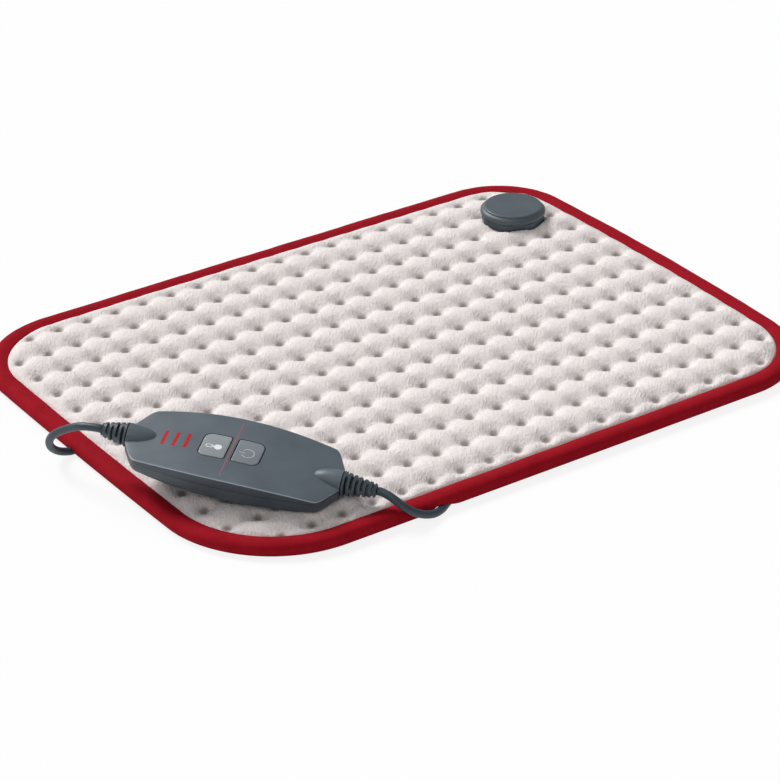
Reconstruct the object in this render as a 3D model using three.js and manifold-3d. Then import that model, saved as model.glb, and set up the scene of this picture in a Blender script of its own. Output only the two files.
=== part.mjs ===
// Electric heating pad with a hand controller, in millimetres, +Z up.
// Lengths below are counted from the centre of the pad, on the surface it lies on.
// +X runs along the long side of the pad.
import * as THREE from 'three';
import { mergeVertices } from 'three/addons/utils/BufferGeometryUtils.js';
import Module from 'manifold-3d';

const wasm = await Module();
wasm.setup();

// Pad: overall size, edge and layers
const padLength = 440;
const padWidth = 330;
const cornerRadiusFarRight = 48;
const cornerRadiusFarLeft = 62;
const cornerRadiusNearLeft = 73;
const cornerRadiusNearRight = 59;
const bowRight = 6;
const bowLeft = 2.4;
const bowFar = 0.8;
const bowNear = 0.4;
const bindingHeight = 8;
const bindingWidth = 11.6;
const bindingLip = 1.1;
const bindingSlotDepth = 5;
const coverThickness = 1;
const topCoverEdge = 1.2;
const coverGap = 0.1;
const layerGap = 0.3;
const lowerWaddingThickness = 1.4;
const carrierThickness = 0.5;
const heatingWireDiameter = 0.8;
const upperWaddingThickness = 0.8;
const heaterMargin = 30;
const wireMargin = 9;

// Quilting: one round weld at each crossing of the lattice, a soft crown between
const weldColumns = 20;
const weldRows = 13;
const quiltMarginX = 14;
const quiltMarginY = 9.3;
const weldPitchX = (padLength - 2 * quiltMarginX) / weldColumns;
const weldPitchY = (padWidth - 2 * quiltMarginY) / weldRows;
const weldShiftY = 2;
const crownHeight = 12.5;
const weldDepth = 4.2;
const edgeFall = 4.4;
const saddleShare = 0.15;

// Leads
const leadDiameter = 4.8;
const leadFloorClearance = 0.1;
const leadClearance = 0.35;
const meetGap = 0.3;
const leadSides = 8;
const airSteps = 2;

// Coupling: round housing clamped through the pad near its far right corner
const couplingInsetX = 52.5;
const couplingInsetY = 64;
const couplingX = padLength / 2 - couplingInsetX;
const couplingY = padWidth / 2 - couplingInsetY;
const couplingFlangeRadius = 21.6;
const couplingFlangeHeight = 5;
const couplingFlangeTurn = THREE.MathUtils.degToRad(-137);
const couplingCapRadius = 21.6;
const couplingCapTopRadius = 19.4;
const couplingCapHeight = 6;
const couplingWall = 1.8;
const couplingStemRadius = 14;
const couplingPress = 2;
const capDish = 0.6;
const capSpigotDepth = 2.5;
const pegRadius = 1.4;
const pegTop = 6;
const backPlateThickness = 1;
const backPlateRadius = 17;
const terminalLength = 9;
const terminalWidth = 4;
const terminalHeight = 3.4;
const cutoutRadius = 2;
const cutoutLength = 10;
const grommetLength = 3;
const grommetWidth = 6.4;
const grommetHeight = 5.5;

// Controller housing, in its own frame: u along it, v across it, w out of its top face
const housingLength = 126.4;
const housingEndTaper = 8.2;
const housingShoulder = housingLength - 2 * housingEndTaper;
const padShoulderWidth = 47.6;
const mainsShoulderWidth = 50.6;
const housingWidth = 59.2;
const housingEndWidth = 16;
const housingThickness = 17.5;
const housingWall = 2;
const topArch = 5.4;
const sideDepth = 12.3;
const sideEndDepth = 3.7;
const bellyRise = 4;
const sideDraft = 1.5;
const bellyInset = 7;
const bevelWidth = 1.6;
const bevelDrop = 0.9;
const bellyCornerShare = 0.3;
const stationShares = [0, 0.2, 0.4, 0.6, 0.8, 1];
const domeShares = [0, 0.35, 0.6, 0.8, 0.93, 0.99];
const glandAxisDepth = 6.6;
const glandRadius = 7.2;
const glandDomeLength = 18;
const partingGap = 0.25;
const runningGap = 0.35;
const trimGap = 0.15;
const trimRise = 0.05;

// Controller placing on the pad
const controllerInsetX = 49.4;
const controllerInsetY = 75.6;
const controllerX = -padLength / 2 + controllerInsetX;
const controllerY = -padWidth / 2 + controllerInsetY;
const controllerYaw = THREE.MathUtils.degToRad(-48.3);
const controllerPitch = THREE.MathUtils.degToRad(7);
const controllerRoll = THREE.MathUtils.degToRad(7);

// Buttons, light bars and accent line, places along u
const accentPlace = -2.3;
const buttonSpace = 4.3;
const buttonLength = 15.6;
const heatButtonCentre = accentPlace - (buttonLength + buttonSpace) / 2;
const powerButtonCentre = accentPlace + (buttonLength + buttonSpace) / 2;
const buttonWidth = 20.4;
const buttonTopAbove = 0.25;
const buttonOuterRadius = 4.4;
const buttonInnerRadius = 1.3;
const buttonGap = 0.6;
const buttonFlange = 1.3;
const buttonFlangeThickness = 0.8;
const buttonTravel = 0.8;
const plungerRadius = 1.7;
const plungerHeight = 1.1;
const switchSize = 6;
const switchHeight = 3.4;
const lightBarShares = [0.88, 0.611, 0.343];
const lightBarWidth = 1.7;
const lightBarLength = 12.8;
const accentWidth = 0.7;
const accentDepth = 0.5;

// Circuit board and what it carries
const boardEndSpace = 10;
const boardLength = housingShoulder - 2 * boardEndSpace;
const boardWidth = 34;
const boardThickness = 1.6;
const boardTopDepth = 8.2;
const ledLength = 3.2;
const ledWidth = 1.6;
const ledHeight = 0.8;
const triacLength = 10;
const triacWidth = 4.4;
const triacHeight = 3.2;
const triacInset = 12;
const capacitorLength = 13;
const capacitorWidth = 6;
const capacitorHeight = 3.6;
const capacitorInset = 15;
const fuseRadius = 1.6;
const fuseLength = 12;
const fuseInset = 13;
const chipSize = 5;
const chipHeight = 1.2;
const screwHeadRadius = 2.5;
const screwHeadHeight = 1.8;
const screwShankRadius = 1.25;
const screwBossRadius = 3.2;
const screwInset = 5;
const screwPlaceU = housingShoulder / 2 - screwInset;
const screwPlaceV = 13;
const postPlaceV = 12;

// Ribbed strain reliefs
const padReliefLength = 16;
const mainsReliefLength = 20;
const plugReliefLength = 25;
const reliefEndRadius = 4;
const reliefCoreRadius = 3.3;
const reliefSlots = 5;
const reliefSlotShare = 0.3;
const reliefNeckRadius = 3.8;
const reliefFlangeRadius = 4.5;
const reliefFlangeThickness = 2;

// Coil and mains plug
const coilX = 250;
const coilMeanRadius = 28.5;
const coilTurnsPerLayer = 4;
const coilLayers = 2;
const coilPitch = 5.4;
const coilSteps = 24;
const coilSides = 6;
const tieWidth = 12;
const tieThickness = 0.6;
const plugLength = 34;
const plugWidth = 35;
const plugHeight = 13.5;
const plugWaistWidth = 19;
const plugWaistHeight = 11;
const plugX = 296;
const plugReliefY = -120;
const plugReliefRadius = 5.4;
const plugEdgeShare = 0.3;
const plugShoulderShare = 0.72;
const pinTipShare = 0.85;
const plugShares = [
  [0, -0.3, -0.2],
  [0.15, 0, 0],
  [0.45, 0.05, 0.3],
  [0.7, 0.45, 0.7],
  [0.85, 1, 1],
  [1, 0.96, 0.95],
];
const pinRadius = 2;
const pinLength = 19;
const pinSpacing = 18.6;
const leadClearanceUnder = 0.1;

const overrun = 1;
const lightBarPlaces = lightBarShares.map((share) => (
  THREE.MathUtils.lerp(heatButtonCentre - buttonLength / 2, -boardLength / 2, share)
));
const boardLow = -boardTopDepth - boardThickness;
const neckHole = reliefNeckRadius + runningGap;
const leadInnerRadius = 1.4;
const accentLength = 50.4;
const accentCentreV = -0.4;
const plugAxisZ = plugHeight / 2 + leadClearanceUnder;
const cornerSteps = 6;
const sideSteps = 4;
const leadRadius = leadDiameter / 2;
const leadFloorZ = leadRadius + leadFloorClearance;

// Route of the pad lead in the air: out of the relief, down past the edge and under the pad
const padLeadDrop = [
  [-230.0, -19.4, 38.2],
  [-232.3, -13.3, 35.6],
  [-234.2, -7.1, 32.1],
  [-236.0, -1.9, 28.6],
  [-237.5, 2.2, 25.2],
  [-238.1, 5.4, 21.6],
  [-237.7, 8.0, 17.9],
  [-236.4, 10.1, 14.3],
  [-234.4, 11.8, 11.0],
  [-231.6, 13.1, 8.0],
  [-227.9, 14.1, 5.3],
  [-223.6, 14.7, 3.4],
  [-219.6, 14.8, leadFloorZ],
];

// Route of the mains lead in the air: over the binding and down to the surface
const mainsLeadDrop = [
  [-110.9, -157.5, 16.9],
  [-108.6, -161.5, 14.4],
  [-106.4, -164.2, 12.1],
  [-103.7, -166.1, 9.9],
  [-100.3, -167.5, 7.6],
  [-94.8, -168.4, 5.1],
  [-87.9, -167.9, 3.2],
  [-80.3, -165.0, leadFloorZ],
  [-71.8, -159.6, leadFloorZ],
];

// Route of the last stretch, from the top of the coil to the plug
const plugLeadDrop = [
  [266.5, -142.8, 8.1],
  [276.5, -142.6, 6.6],
  [285.3, -140.0, 5.9],
  [292.2, -133.6, 5.9],
];

const colours = {
  fleece: 0xeee5e3,
  lining: 0xd9d2cf,
  wadding: 0xf1efec,
  carrier: 0xe7dcc8,
  wire: 0xb5723c,
  binding: 0x9b1e2a,
  coupling: 0x555f67,
  housing: 0x5a636b,
  housingLower: 0x3c464d,
  button: 0x8c9296,
  light: 0xc81423,
  accent: 0xbe5a6e,
  rubber: 0x374148,
  board: 0x2f6b45,
  dark: 0x1f2326,
  metal: 0xb9bcbf,
  brass: 0xb08d4c,
  yellow: 0xc9a13a,
};

const root = new THREE.Group();
const assembly = new THREE.Group();
root.add(assembly);

function addPiece(parent, name, geometry, colour, roughness, metalness = 0) {
  const material = new THREE.MeshStandardMaterial({ color: colour, roughness, metalness });
  const mesh = new THREE.Mesh(geometry, material);
  mesh.name = name;
  parent.add(mesh);
  return mesh;
}

// Closed solids from geometries and back
function solidOf(geometry) {
  const plain = geometry.clone();
  for (const attribute of Object.keys(plain.attributes)) {
    if (attribute !== 'position') plain.deleteAttribute(attribute);
  }
  const merged = mergeVertices(plain);
  return new wasm.Manifold(new wasm.Mesh({
    numProp: 3,
    vertProperties: Float32Array.from(merged.attributes.position.array),
    triVerts: Uint32Array.from(merged.index.array),
  }));
}

function geometryOf(solid) {
  const mesh = solid.getMesh();
  const geometry = new THREE.BufferGeometry();
  geometry.setAttribute('position', new THREE.BufferAttribute(Float32Array.from(mesh.vertProperties), 3));
  geometry.setIndex(new THREE.BufferAttribute(Uint32Array.from(mesh.triVerts), 1));
  return geometry;
}

function joined(...solids) {
  return solids.reduce((sum, solid) => sum.add(solid));
}

function cut(solid, ...tools) {
  return tools.reduce((left, tool) => left.subtract(tool), solid);
}

// A skin over rings of equal point counts; a closed run joins its last ring to its first
function skin(rings, closedRun = false) {
  const sides = rings[0].length;
  const points = rings.flat();
  const faces = [];
  const runs = closedRun ? rings.length : rings.length - 1;
  for (let i = 0; i < runs; i += 1) {
    const near = i * sides;
    const far = ((i + 1) % rings.length) * sides;
    for (let j = 0; j < sides; j += 1) {
      const next = (j + 1) % sides;
      faces.push(near + j, near + next, far + next);
      faces.push(near + j, far + next, far + j);
    }
  }
  if (!closedRun) {
    addCap(faces, points, rings[0], 0, true);
    addCap(faces, points, rings[rings.length - 1], (rings.length - 1) * sides, false);
  }
  const geometry = new THREE.BufferGeometry().setFromPoints(points);
  geometry.setIndex(signedVolume(points, faces) > 0 ? faces : faces.reverse());
  return geometry;
}

function signedVolume(points, faces) {
  const across = new THREE.Vector3();
  let volume = 0;
  for (let k = 0; k < faces.length; k += 3) {
    across.crossVectors(points[faces[k + 1]], points[faces[k + 2]]);
    volume += points[faces[k]].dot(across);
  }
  return volume;
}

function addCap(faces, points, ring, first, reversed) {
  const middle = new THREE.Vector3();
  ring.forEach((point) => middle.add(point));
  middle.divideScalar(ring.length);
  points.push(middle);
  const centre = points.length - 1;
  for (let j = 0; j < ring.length; j += 1) {
    const a = first + j;
    const b = first + ((j + 1) % ring.length);
    if (reversed) faces.push(centre, b, a);
    else faces.push(centre, a, b);
  }
}

// Upright prism over an outline of Vector2 points
function prism(outline, low, high) {
  const shape = new THREE.Shape(outline);
  const geometry = new THREE.ExtrudeGeometry(shape, { depth: high - low, bevelEnabled: false, steps: 1 });
  return geometry.translate(0, 0, low);
}

function block(lengthX, lengthY, low, high, x = 0, y = 0) {
  const geometry = new THREE.BoxGeometry(lengthX, lengthY, high - low);
  return geometry.translate(x, y, (low + high) / 2);
}

function drum(radius, low, high, x = 0, y = 0, sides = 20) {
  const geometry = new THREE.CylinderGeometry(radius, radius, high - low, sides);
  return geometry.rotateX(Math.PI / 2).translate(x, y, (low + high) / 2);
}

// A form turned about Z; its profile is a list of [radius, height] with flat ends
function revolved(profile, sides) {
  return skin(profile.map(([radius, height]) => {
    const ring = [];
    for (let i = 0; i < sides; i += 1) {
      const angle = (2 * Math.PI * i) / sides;
      ring.push(new THREE.Vector3(radius * Math.cos(angle), radius * Math.sin(angle), height));
    }
    return ring;
  }));
}

// A drum or revolved form whose axis lies along +X
function alongX(geometry) {
  return geometry.rotateY(Math.PI / 2);
}

// Samples of a smooth curve through points; the points after it only shape its end
function smoothRun(points, after, steps) {
  const curve = new THREE.CatmullRomCurve3([...points, ...after], false, 'centripetal');
  const last = points.length + after.length - 1;
  const samples = [];
  for (let step = 0; step <= (points.length - 1) * steps; step += 1) {
    samples.push(curve.getPoint(step / steps / last));
  }
  return samples;
}

// A section of [side, height] points carried along a flat route of Vector2 points
function flatSweep(route, section) {
  const rings = route.map((point, i) => {
    const before = route[Math.max(i - 1, 0)];
    const after = route[Math.min(i + 1, route.length - 1)];
    const along = after.clone().sub(before).normalize();
    return section.map(([side, height]) => new THREE.Vector3(
      point.x + along.y * side,
      point.y - along.x * side,
      height,
    ));
  });
  return skin(rings);
}

// Pad outline at a given inset, counter-clockwise, with bowed sides
function padOutline(inset) {
  const corners = [
    [1, 1, cornerRadiusFarRight],
    [-1, 1, cornerRadiusFarLeft],
    [-1, -1, cornerRadiusNearLeft],
    [1, -1, cornerRadiusNearRight],
  ];
  const points = [];
  corners.forEach(([signX, signY, radius], corner) => {
    const centre = new THREE.Vector2(
      signX * (padLength / 2 - radius),
      signY * (padWidth / 2 - radius),
    );
    for (let step = 0; step <= cornerSteps; step += 1) {
      const angle = (Math.PI / 2) * (corner + step / cornerSteps);
      const reach = new THREE.Vector2(Math.cos(angle), Math.sin(angle)).multiplyScalar(radius - inset);
      points.push(reach.add(centre));
    }
    const [nextX, nextY, nextRadius] = corners[(corner + 1) % corners.length];
    const angle = (Math.PI / 2) * (corner + 1);
    const end = new THREE.Vector2(Math.cos(angle), Math.sin(angle)).multiplyScalar(nextRadius - inset);
    end.x += nextX * (padLength / 2 - nextRadius);
    end.y += nextY * (padWidth / 2 - nextRadius);
    const start = points[points.length - 1];
    for (let step = 1; step < sideSteps; step += 1) {
      points.push(start.clone().lerp(end, step / sideSteps));
    }
  });
  return points.map(bowed);
}

function bowed(point) {
  const u = point.x / (padLength / 2);
  const v = point.y / (padWidth / 2);
  const bowX = u > 0 ? bowRight : bowLeft;
  const bowY = v > 0 ? bowFar : bowNear;
  return new THREE.Vector2(point.x - u * bowX * v * v, point.y - v * bowY * u * u);
}

// Heights of the layers
const bottomCoverLow = bindingLip + coverGap;
const bottomCoverTop = bottomCoverLow + coverThickness;
const lowerWaddingLow = bottomCoverTop + layerGap;
const lowerWaddingTop = lowerWaddingLow + lowerWaddingThickness;
const carrierLow = lowerWaddingTop + layerGap;
const carrierTop = carrierLow + carrierThickness;
const wireZ = carrierTop + coverGap + heatingWireDiameter / 2;
const upperWaddingLow = wireZ + heatingWireDiameter / 2 + layerGap;
const upperWaddingTop = upperWaddingLow + upperWaddingThickness;
const quiltLow = upperWaddingTop + layerGap;
const topEdgeTop = bindingHeight - bindingLip - coverGap;
const topEdgeLow = topEdgeTop - topCoverEdge;

// Insets of the covers and layers from the pad's outline
const coverInset = bindingWidth + layerGap;
const pocketInset = coverInset + 2 * coverThickness;
const layerInset = pocketInset + layerGap;
const edgeInset = bindingWidth - bindingSlotDepth + layerGap;

// Routes of the leads under the pad, in the unheated margin
const channelInset = (layerInset + heaterMargin) / 2;
const leftRunX = -padLength / 2 + channelInset;
const farRunY = padWidth / 2 - channelInset;
const nearRunY = -padWidth / 2 + channelInset;
const leadTurn = 4.5 * leadDiameter;
const farLeftTurn = cornerRadiusFarLeft - channelInset;
const turnSteps = 5;
const archSteps = 4;

function arc(centreX, centreY, radius, startDegrees, endDegrees, skipFirst = false) {
  const points = [];
  for (let step = skipFirst ? 1 : 0; step <= turnSteps; step += 1) {
    const angle = THREE.MathUtils.degToRad(startDegrees + ((endDegrees - startDegrees) * step) / turnSteps);
    const reach = new THREE.Vector2(Math.cos(angle), Math.sin(angle)).multiplyScalar(radius);
    points.push(reach.add(new THREE.Vector2(centreX, centreY)));
  }
  return points;
}

const grommetFarY = couplingY + couplingStemRadius + grommetLength;

function padLeadUnderRoute() {
  const enter = padLeadDrop[padLeadDrop.length - 1];
  return [
    new THREE.Vector2(enter[0], enter[1]),
    ...arc(leftRunX - leadTurn, enter[1] + leadTurn, leadTurn, -90, 0),
    ...arc(leftRunX + farLeftTurn, farRunY - farLeftTurn, farLeftTurn, 180, 90),
    ...arc(couplingX - leadTurn, farRunY - leadTurn, leadTurn, 90, 0),
    new THREE.Vector2(couplingX, grommetFarY + meetGap),
  ];
}

function mainsLeadUnderRoute() {
  const [before, enter] = mainsLeadDrop.slice(-2).map(([x, y]) => new THREE.Vector2(x, y));
  const heading = enter.clone().sub(before).angle();
  const along = (nearRunY - leadTurn * (1 - Math.cos(heading)) - enter.y) / Math.sin(heading);
  const centreX = enter.x + along * Math.cos(heading) + leadTurn * Math.sin(heading);
  return [
    before,
    enter,
    ...arc(centreX, nearRunY - leadTurn, leadTurn, 90 + THREE.MathUtils.radToDeg(heading), 90),
    new THREE.Vector2(padLength / 4, nearRunY),
    new THREE.Vector2(padLength / 2, nearRunY),
  ];
}

// Arched section over a lead, open below the pad
function archSection(radius) {
  const section = [[radius, -overrun]];
  for (let step = 0; step <= archSteps; step += 1) {
    const angle = (Math.PI * step) / archSteps;
    section.push([radius * Math.cos(angle), leadFloorZ + radius * Math.sin(angle)]);
  }
  section.push([-radius, -overrun]);
  return section;
}

function extended(route) {
  const first = route[0].clone().add(route[0].clone().sub(route[1]).setLength(leadDiameter));
  return [first, ...route];
}

function leadRoutes() {
  return [extended(padLeadUnderRoute()), extended(mainsLeadUnderRoute())];
}

function leadChannels(radius) {
  return leadRoutes().map((route) => solidOf(flatSweep(route, archSection(radius))));
}

// Slots with upright walls, for flat layers that stop on both sides of a lead
function leadSlots(halfWidth, low, high) {
  const section = [[halfWidth, low], [halfWidth, high], [-halfWidth, high], [-halfWidth, low]];
  return leadRoutes().map((route) => solidOf(flatSweep(route, section)));
}

const channelRadius = leadRadius + leadClearance;
const archRadius = channelRadius + coverThickness - layerGap / 2;
const archClearRadius = archRadius + layerGap;

function outlineSolid(inset, low, high) {
  return solidOf(prism(padOutline(inset), low, high));
}

// Height of the quilted surface at a point: crowns, saddles between welds, and the welds
function quiltHeight(x, y) {
  const a = (1 + Math.cos((2 * Math.PI * (x / weldPitchX)) + Math.PI)) / 2;
  const b = (1 + Math.cos((2 * Math.PI * (y - weldShiftY)) / weldPitchY)) / 2;
  const dip = (1 - 2 * saddleShare) * a * b + saddleShare * (a + b);
  return crownHeight - weldDepth * dip;
}

// Upper surface of the fleece over the pad; it falls to the binding along its edge
function makeTopCover() {
  const columns = weldColumns;
  const rows = weldRows;
  const stepX = weldPitchX / 2;
  const stepY = weldPitchY / 2;
  const reachX = padLength / 2 - coverInset;
  const reachY = padWidth / 2 - coverInset;
  const edgeZ = crownHeight - edgeFall;
  const points = [];
  const across = 2 * columns + 1;
  const along = 2 * rows + 1;
  for (let j = 0; j < along; j += 1) {
    for (let i = 0; i < across; i += 1) {
      const lastX = i === 0 || i === across - 1;
      const lastY = j === 0 || j === along - 1;
      const x = lastX ? Math.sign(i - columns) * (reachX + overrun) : (i - columns) * stepX;
      const y = lastY ? Math.sign(j - rows) * (reachY + overrun) : (j - rows) * stepY + weldShiftY;
      const onEdge = lastX || lastY || outsideCorner(x, y);
      points.push(new THREE.Vector3(x, y, onEdge ? edgeZ : quiltHeight(x, y)));
    }
  }
  const surface = heightSolid(points, across, along, topEdgeLow);
  const slab = surface.intersect(outlineSolid(coverInset, topEdgeLow, crownHeight + overrun));
  const edge = outlineSolid(edgeInset, topEdgeLow, topEdgeTop);
  const pocket = outlineSolid(pocketInset, topEdgeLow - overrun, quiltLow);
  const seatShape = couplingOctagon(couplingFlangeRadius + meetGap);
  const seat = solidOf(prism(seatShape, couplingSeatZ, crownHeight + overrun));
  const stem = solidOf(drum(stemHoleRadius, 0, crownHeight + overrun, couplingX, couplingY));
  return geometryOf(cut(joined(slab, edge), pocket, seat, stem));
}

// True outside the rounded corners of the pad, one crown in from the binding
function outsideCorner(x, y) {
  const inset = coverInset + weldPitchX / 4;
  const corners = [
    [1, 1, cornerRadiusFarRight],
    [-1, 1, cornerRadiusFarLeft],
    [-1, -1, cornerRadiusNearLeft],
    [1, -1, cornerRadiusNearRight],
  ];
  return corners.some(([signX, signY, radius]) => {
    const dx = signX * x - (padLength / 2 - radius);
    const dy = signY * y - (padWidth / 2 - radius);
    return dx > 0 && dy > 0 && Math.hypot(dx, dy) > radius - inset;
  });
}

// A solid under a grid of surface points, flat below
function heightSolid(points, across, along, low) {
  const faces = [];
  for (let j = 0; j < along - 1; j += 1) {
    for (let i = 0; i < across - 1; i += 1) {
      const a = j * across + i;
      const b = a + 1;
      const c = b + across;
      const d = a + across;
      if ((i + j + weldColumns + weldRows) % 2 === 1) faces.push(a, b, d, b, c, d);
      else faces.push(a, b, c, a, c, d);
    }
  }
  const rim = [];
  for (let i = 0; i < across - 1; i += 1) rim.push(i);
  for (let j = 0; j < along - 1; j += 1) rim.push(j * across + across - 1);
  for (let i = across - 1; i > 0; i -= 1) rim.push((along - 1) * across + i);
  for (let j = along - 1; j > 0; j -= 1) rim.push(j * across);
  const first = points.length;
  const floor = rim.map((k) => new THREE.Vector3(points[k].x, points[k].y, low));
  const centre = first + rim.length;
  rim.forEach((a, k) => {
    const next = (k + 1) % rim.length;
    faces.push(a, first + k, first + next, a, first + next, rim[next]);
    faces.push(centre, first + next, first + k);
  });
  const geometry = new THREE.BufferGeometry();
  geometry.setFromPoints([...points, ...floor, new THREE.Vector3(0, 0, low)]);
  geometry.setIndex(faces);
  return solidOf(geometry);
}

// Coupling outline, a regular octagon turned as on the pad
function couplingOctagon(radius) {
  const points = [];
  const sides = 8;
  for (let i = 0; i < sides; i += 1) {
    const angle = couplingFlangeTurn + (2 * Math.PI * i) / sides;
    const reach = new THREE.Vector2(Math.cos(angle), Math.sin(angle)).multiplyScalar(radius);
    points.push(reach.add(new THREE.Vector2(couplingX, couplingY)));
  }
  return points;
}

const stemHoleRadius = couplingStemRadius + meetGap;
const couplingSeatZ = crownHeight - couplingPress;
const couplingFlangeLow = couplingSeatZ + meetGap;
const couplingFlangeTop = couplingFlangeLow + couplingFlangeHeight;
const couplingCapLow = couplingFlangeTop + leadFloorClearance;
const couplingCapTop = couplingCapLow + couplingCapHeight;

function makeBottomCover() {
  const sheet = outlineSolid(edgeInset, bottomCoverLow, bottomCoverTop);
  const inside = outlineSolid(layerInset, 0, bindingHeight);
  const arches = joined(...leadChannels(archRadius)).intersect(inside);
  const below = solidOf(block(3 * padLength, 3 * padLength, -2 * overrun, bottomCoverLow));
  const arched = cut(joined(sheet, arches), below);
  const stem = solidOf(drum(stemHoleRadius, 0, bindingHeight, couplingX, couplingY));
  return geometryOf(cut(arched, stem, solidOf(grommetBlock(layerGap)), ...leadChannels(channelRadius)));
}

function largestPart(solid) {
  return solid.decompose().reduce((best, part) => (part.volume() > best.volume() ? part : best));
}

// A flat inner layer with a hole for the coupling, ending where a lead passes under the pad
function makeLayer(inset, low, high) {
  const hole = solidOf(drum(stemHoleRadius, low - overrun, high + overrun, couplingX, couplingY));
  const slots = leadSlots(archClearRadius, low - overrun, high + overrun);
  const grommet = solidOf(grommetBlock(layerGap));
  return geometryOf(largestPart(cut(outlineSolid(inset, low, high), hole, grommet, ...slots)));
}

function makeUpperWadding() {
  const hole = solidOf(drum(stemHoleRadius, 0, bindingHeight, couplingX, couplingY));
  const sheet = outlineSolid(layerInset, upperWaddingLow, upperWaddingTop);
  return geometryOf(cut(sheet, hole, ...leadChannels(archClearRadius)));
}

// The binding: a tape folded round the edge, round outside, with a slot for the covers
function makeBinding() {
  const half = bindingHeight / 2;
  const shoulder = half * (1 - Math.SQRT1_2);
  const section = [
    [half, 0],
    [bindingWidth, 0],
    [bindingWidth, bindingLip],
    [bindingWidth - bindingSlotDepth, bindingLip],
    [bindingWidth - bindingSlotDepth, bindingHeight - bindingLip],
    [bindingWidth, bindingHeight - bindingLip],
    [bindingWidth, bindingHeight - bindingLip / 2],
    [bindingWidth - bindingLip, bindingHeight],
    [half, bindingHeight],
    [shoulder, bindingHeight - shoulder],
    [0, half],
    [shoulder, shoulder],
  ];
  const outlines = section.map(([inset]) => padOutline(inset));
  const count = outlines[0].length;
  const rings = [];
  for (let i = 0; i < count; i += 1) {
    rings.push(section.map(([, z], k) => new THREE.Vector3(outlines[k][i].x, outlines[k][i].y, z)));
  }
  const band = solidOf(skin(rings.map((ring) => ring.slice().reverse()), true));
  return geometryOf(cut(band, ...leadChannels(channelRadius), ...leadDips()));
}

// The heating wire: runs between the rows of welds, and a return to the coupling
function heatingWireRoute() {
  const turn = weldPitchY / 2;
  const runs = weldRows - 1;
  const left = -padLength / 2 + heaterMargin + turn + wireMargin;
  const right = couplingX - couplingStemRadius - 2 * turn;
  const firstY = weldShiftY + (runs / 2 - 0.5) * weldPitchY;
  const points = [];
  const stemStart = new THREE.Vector2(couplingX - couplingStemRadius - layerGap * 3, couplingY + turn / 2);
  points.push(stemStart);
  points.push(new THREE.Vector2(right + turn, firstY - turn / 2));
  for (let run = 0; run < runs; run += 1) {
    const y = firstY - run * weldPitchY;
    const leftward = run % 2 === 0;
    const from = leftward ? right : left;
    const to = leftward ? left : right;
    points.push(new THREE.Vector2(from, y), new THREE.Vector2(to, y));
    if (run < runs - 1) {
      const centreY = y - turn;
      const sign = leftward ? -1 : 1;
      for (const degrees of [-54, -18, 18, 54]) {
        const angle = THREE.MathUtils.degToRad(degrees);
        points.push(new THREE.Vector2(to + sign * turn * Math.cos(angle), centreY - turn * Math.sin(angle)));
      }
    }
  }
  const lastY = firstY - (runs - 1) * weldPitchY;
  points.push(new THREE.Vector2(right + turn * 1.4, lastY + turn / 2));
  points.push(new THREE.Vector2(right + turn * 1.7, lastY + 1.5 * turn));
  points.push(new THREE.Vector2(right + turn * 1.7, couplingY - 2 * turn));
  points.push(new THREE.Vector2(couplingX - couplingStemRadius - layerGap * 3, couplingY - turn / 2));
  return points;
}

function makeHeatingWire() {
  const sides = 5;
  const section = [];
  for (let i = 0; i < sides; i += 1) {
    const angle = (2 * Math.PI * i) / sides + Math.PI / 2;
    section.push([
      (heatingWireDiameter / 2) * Math.cos(angle),
      wireZ + (heatingWireDiameter / 2) * Math.sin(angle),
    ]);
  }
  return flatSweep(heatingWireRoute(), section);
}

function addPad() {
  addPiece(assembly, 'top_cover', makeTopCover(), colours.fleece, 0.95);
  addPiece(assembly, 'upper_wadding', makeUpperWadding(), colours.wadding, 0.95);
  const carrier = makeLayer(heaterMargin, carrierLow, carrierTop);
  addPiece(assembly, 'heater_carrier', carrier, colours.carrier, 0.9);
  addPiece(assembly, 'heating_wire', makeHeatingWire(), colours.wire, 0.5, 0.4);
  const wadding = makeLayer(layerInset, lowerWaddingLow, lowerWaddingTop);
  addPiece(assembly, 'lower_wadding', wadding, colours.wadding, 0.95);
  addPiece(assembly, 'bottom_cover', makeBottomCover(), colours.lining, 0.95);
  addPiece(assembly, 'edge_binding', makeBinding(), colours.binding, 0.8);
}

// Coupling: octagonal base with a stem through the pad, round cap, plate under the pad
function makeCouplingBase() {
  const boreRadius = couplingStemRadius - couplingWall;
  const stemLow = backPlateThickness + coverGap;
  const flange = solidOf(prism(couplingOctagon(couplingFlangeRadius), couplingFlangeLow, couplingFlangeTop));
  const stem = solidOf(drum(couplingStemRadius, stemLow, couplingFlangeTop, couplingX, couplingY, 28));
  const bore = solidOf(drum(boreRadius, -overrun, couplingFlangeTop + overrun, couplingX, couplingY, 28));
  const bosses = [-1, 1].map((side) => {
    const x = couplingX + side * (boreRadius - pegRadius);
    return solidOf(drum(pegRadius + couplingWall / 2, stemLow, couplingFlangeLow, x, couplingY, 12));
  });
  const pegHoles = [-1, 1].map((side) => {
    const x = couplingX + side * (boreRadius - pegRadius);
    return solidOf(drum(pegRadius + trimGap, -overrun, pegTop + meetGap, x, couplingY, 12));
  });
  const opening = solidOf(grommetBlock(meetGap));
  return geometryOf(cut(joined(cut(joined(flange, stem), bore), ...bosses), ...pegHoles, opening));
}

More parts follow.
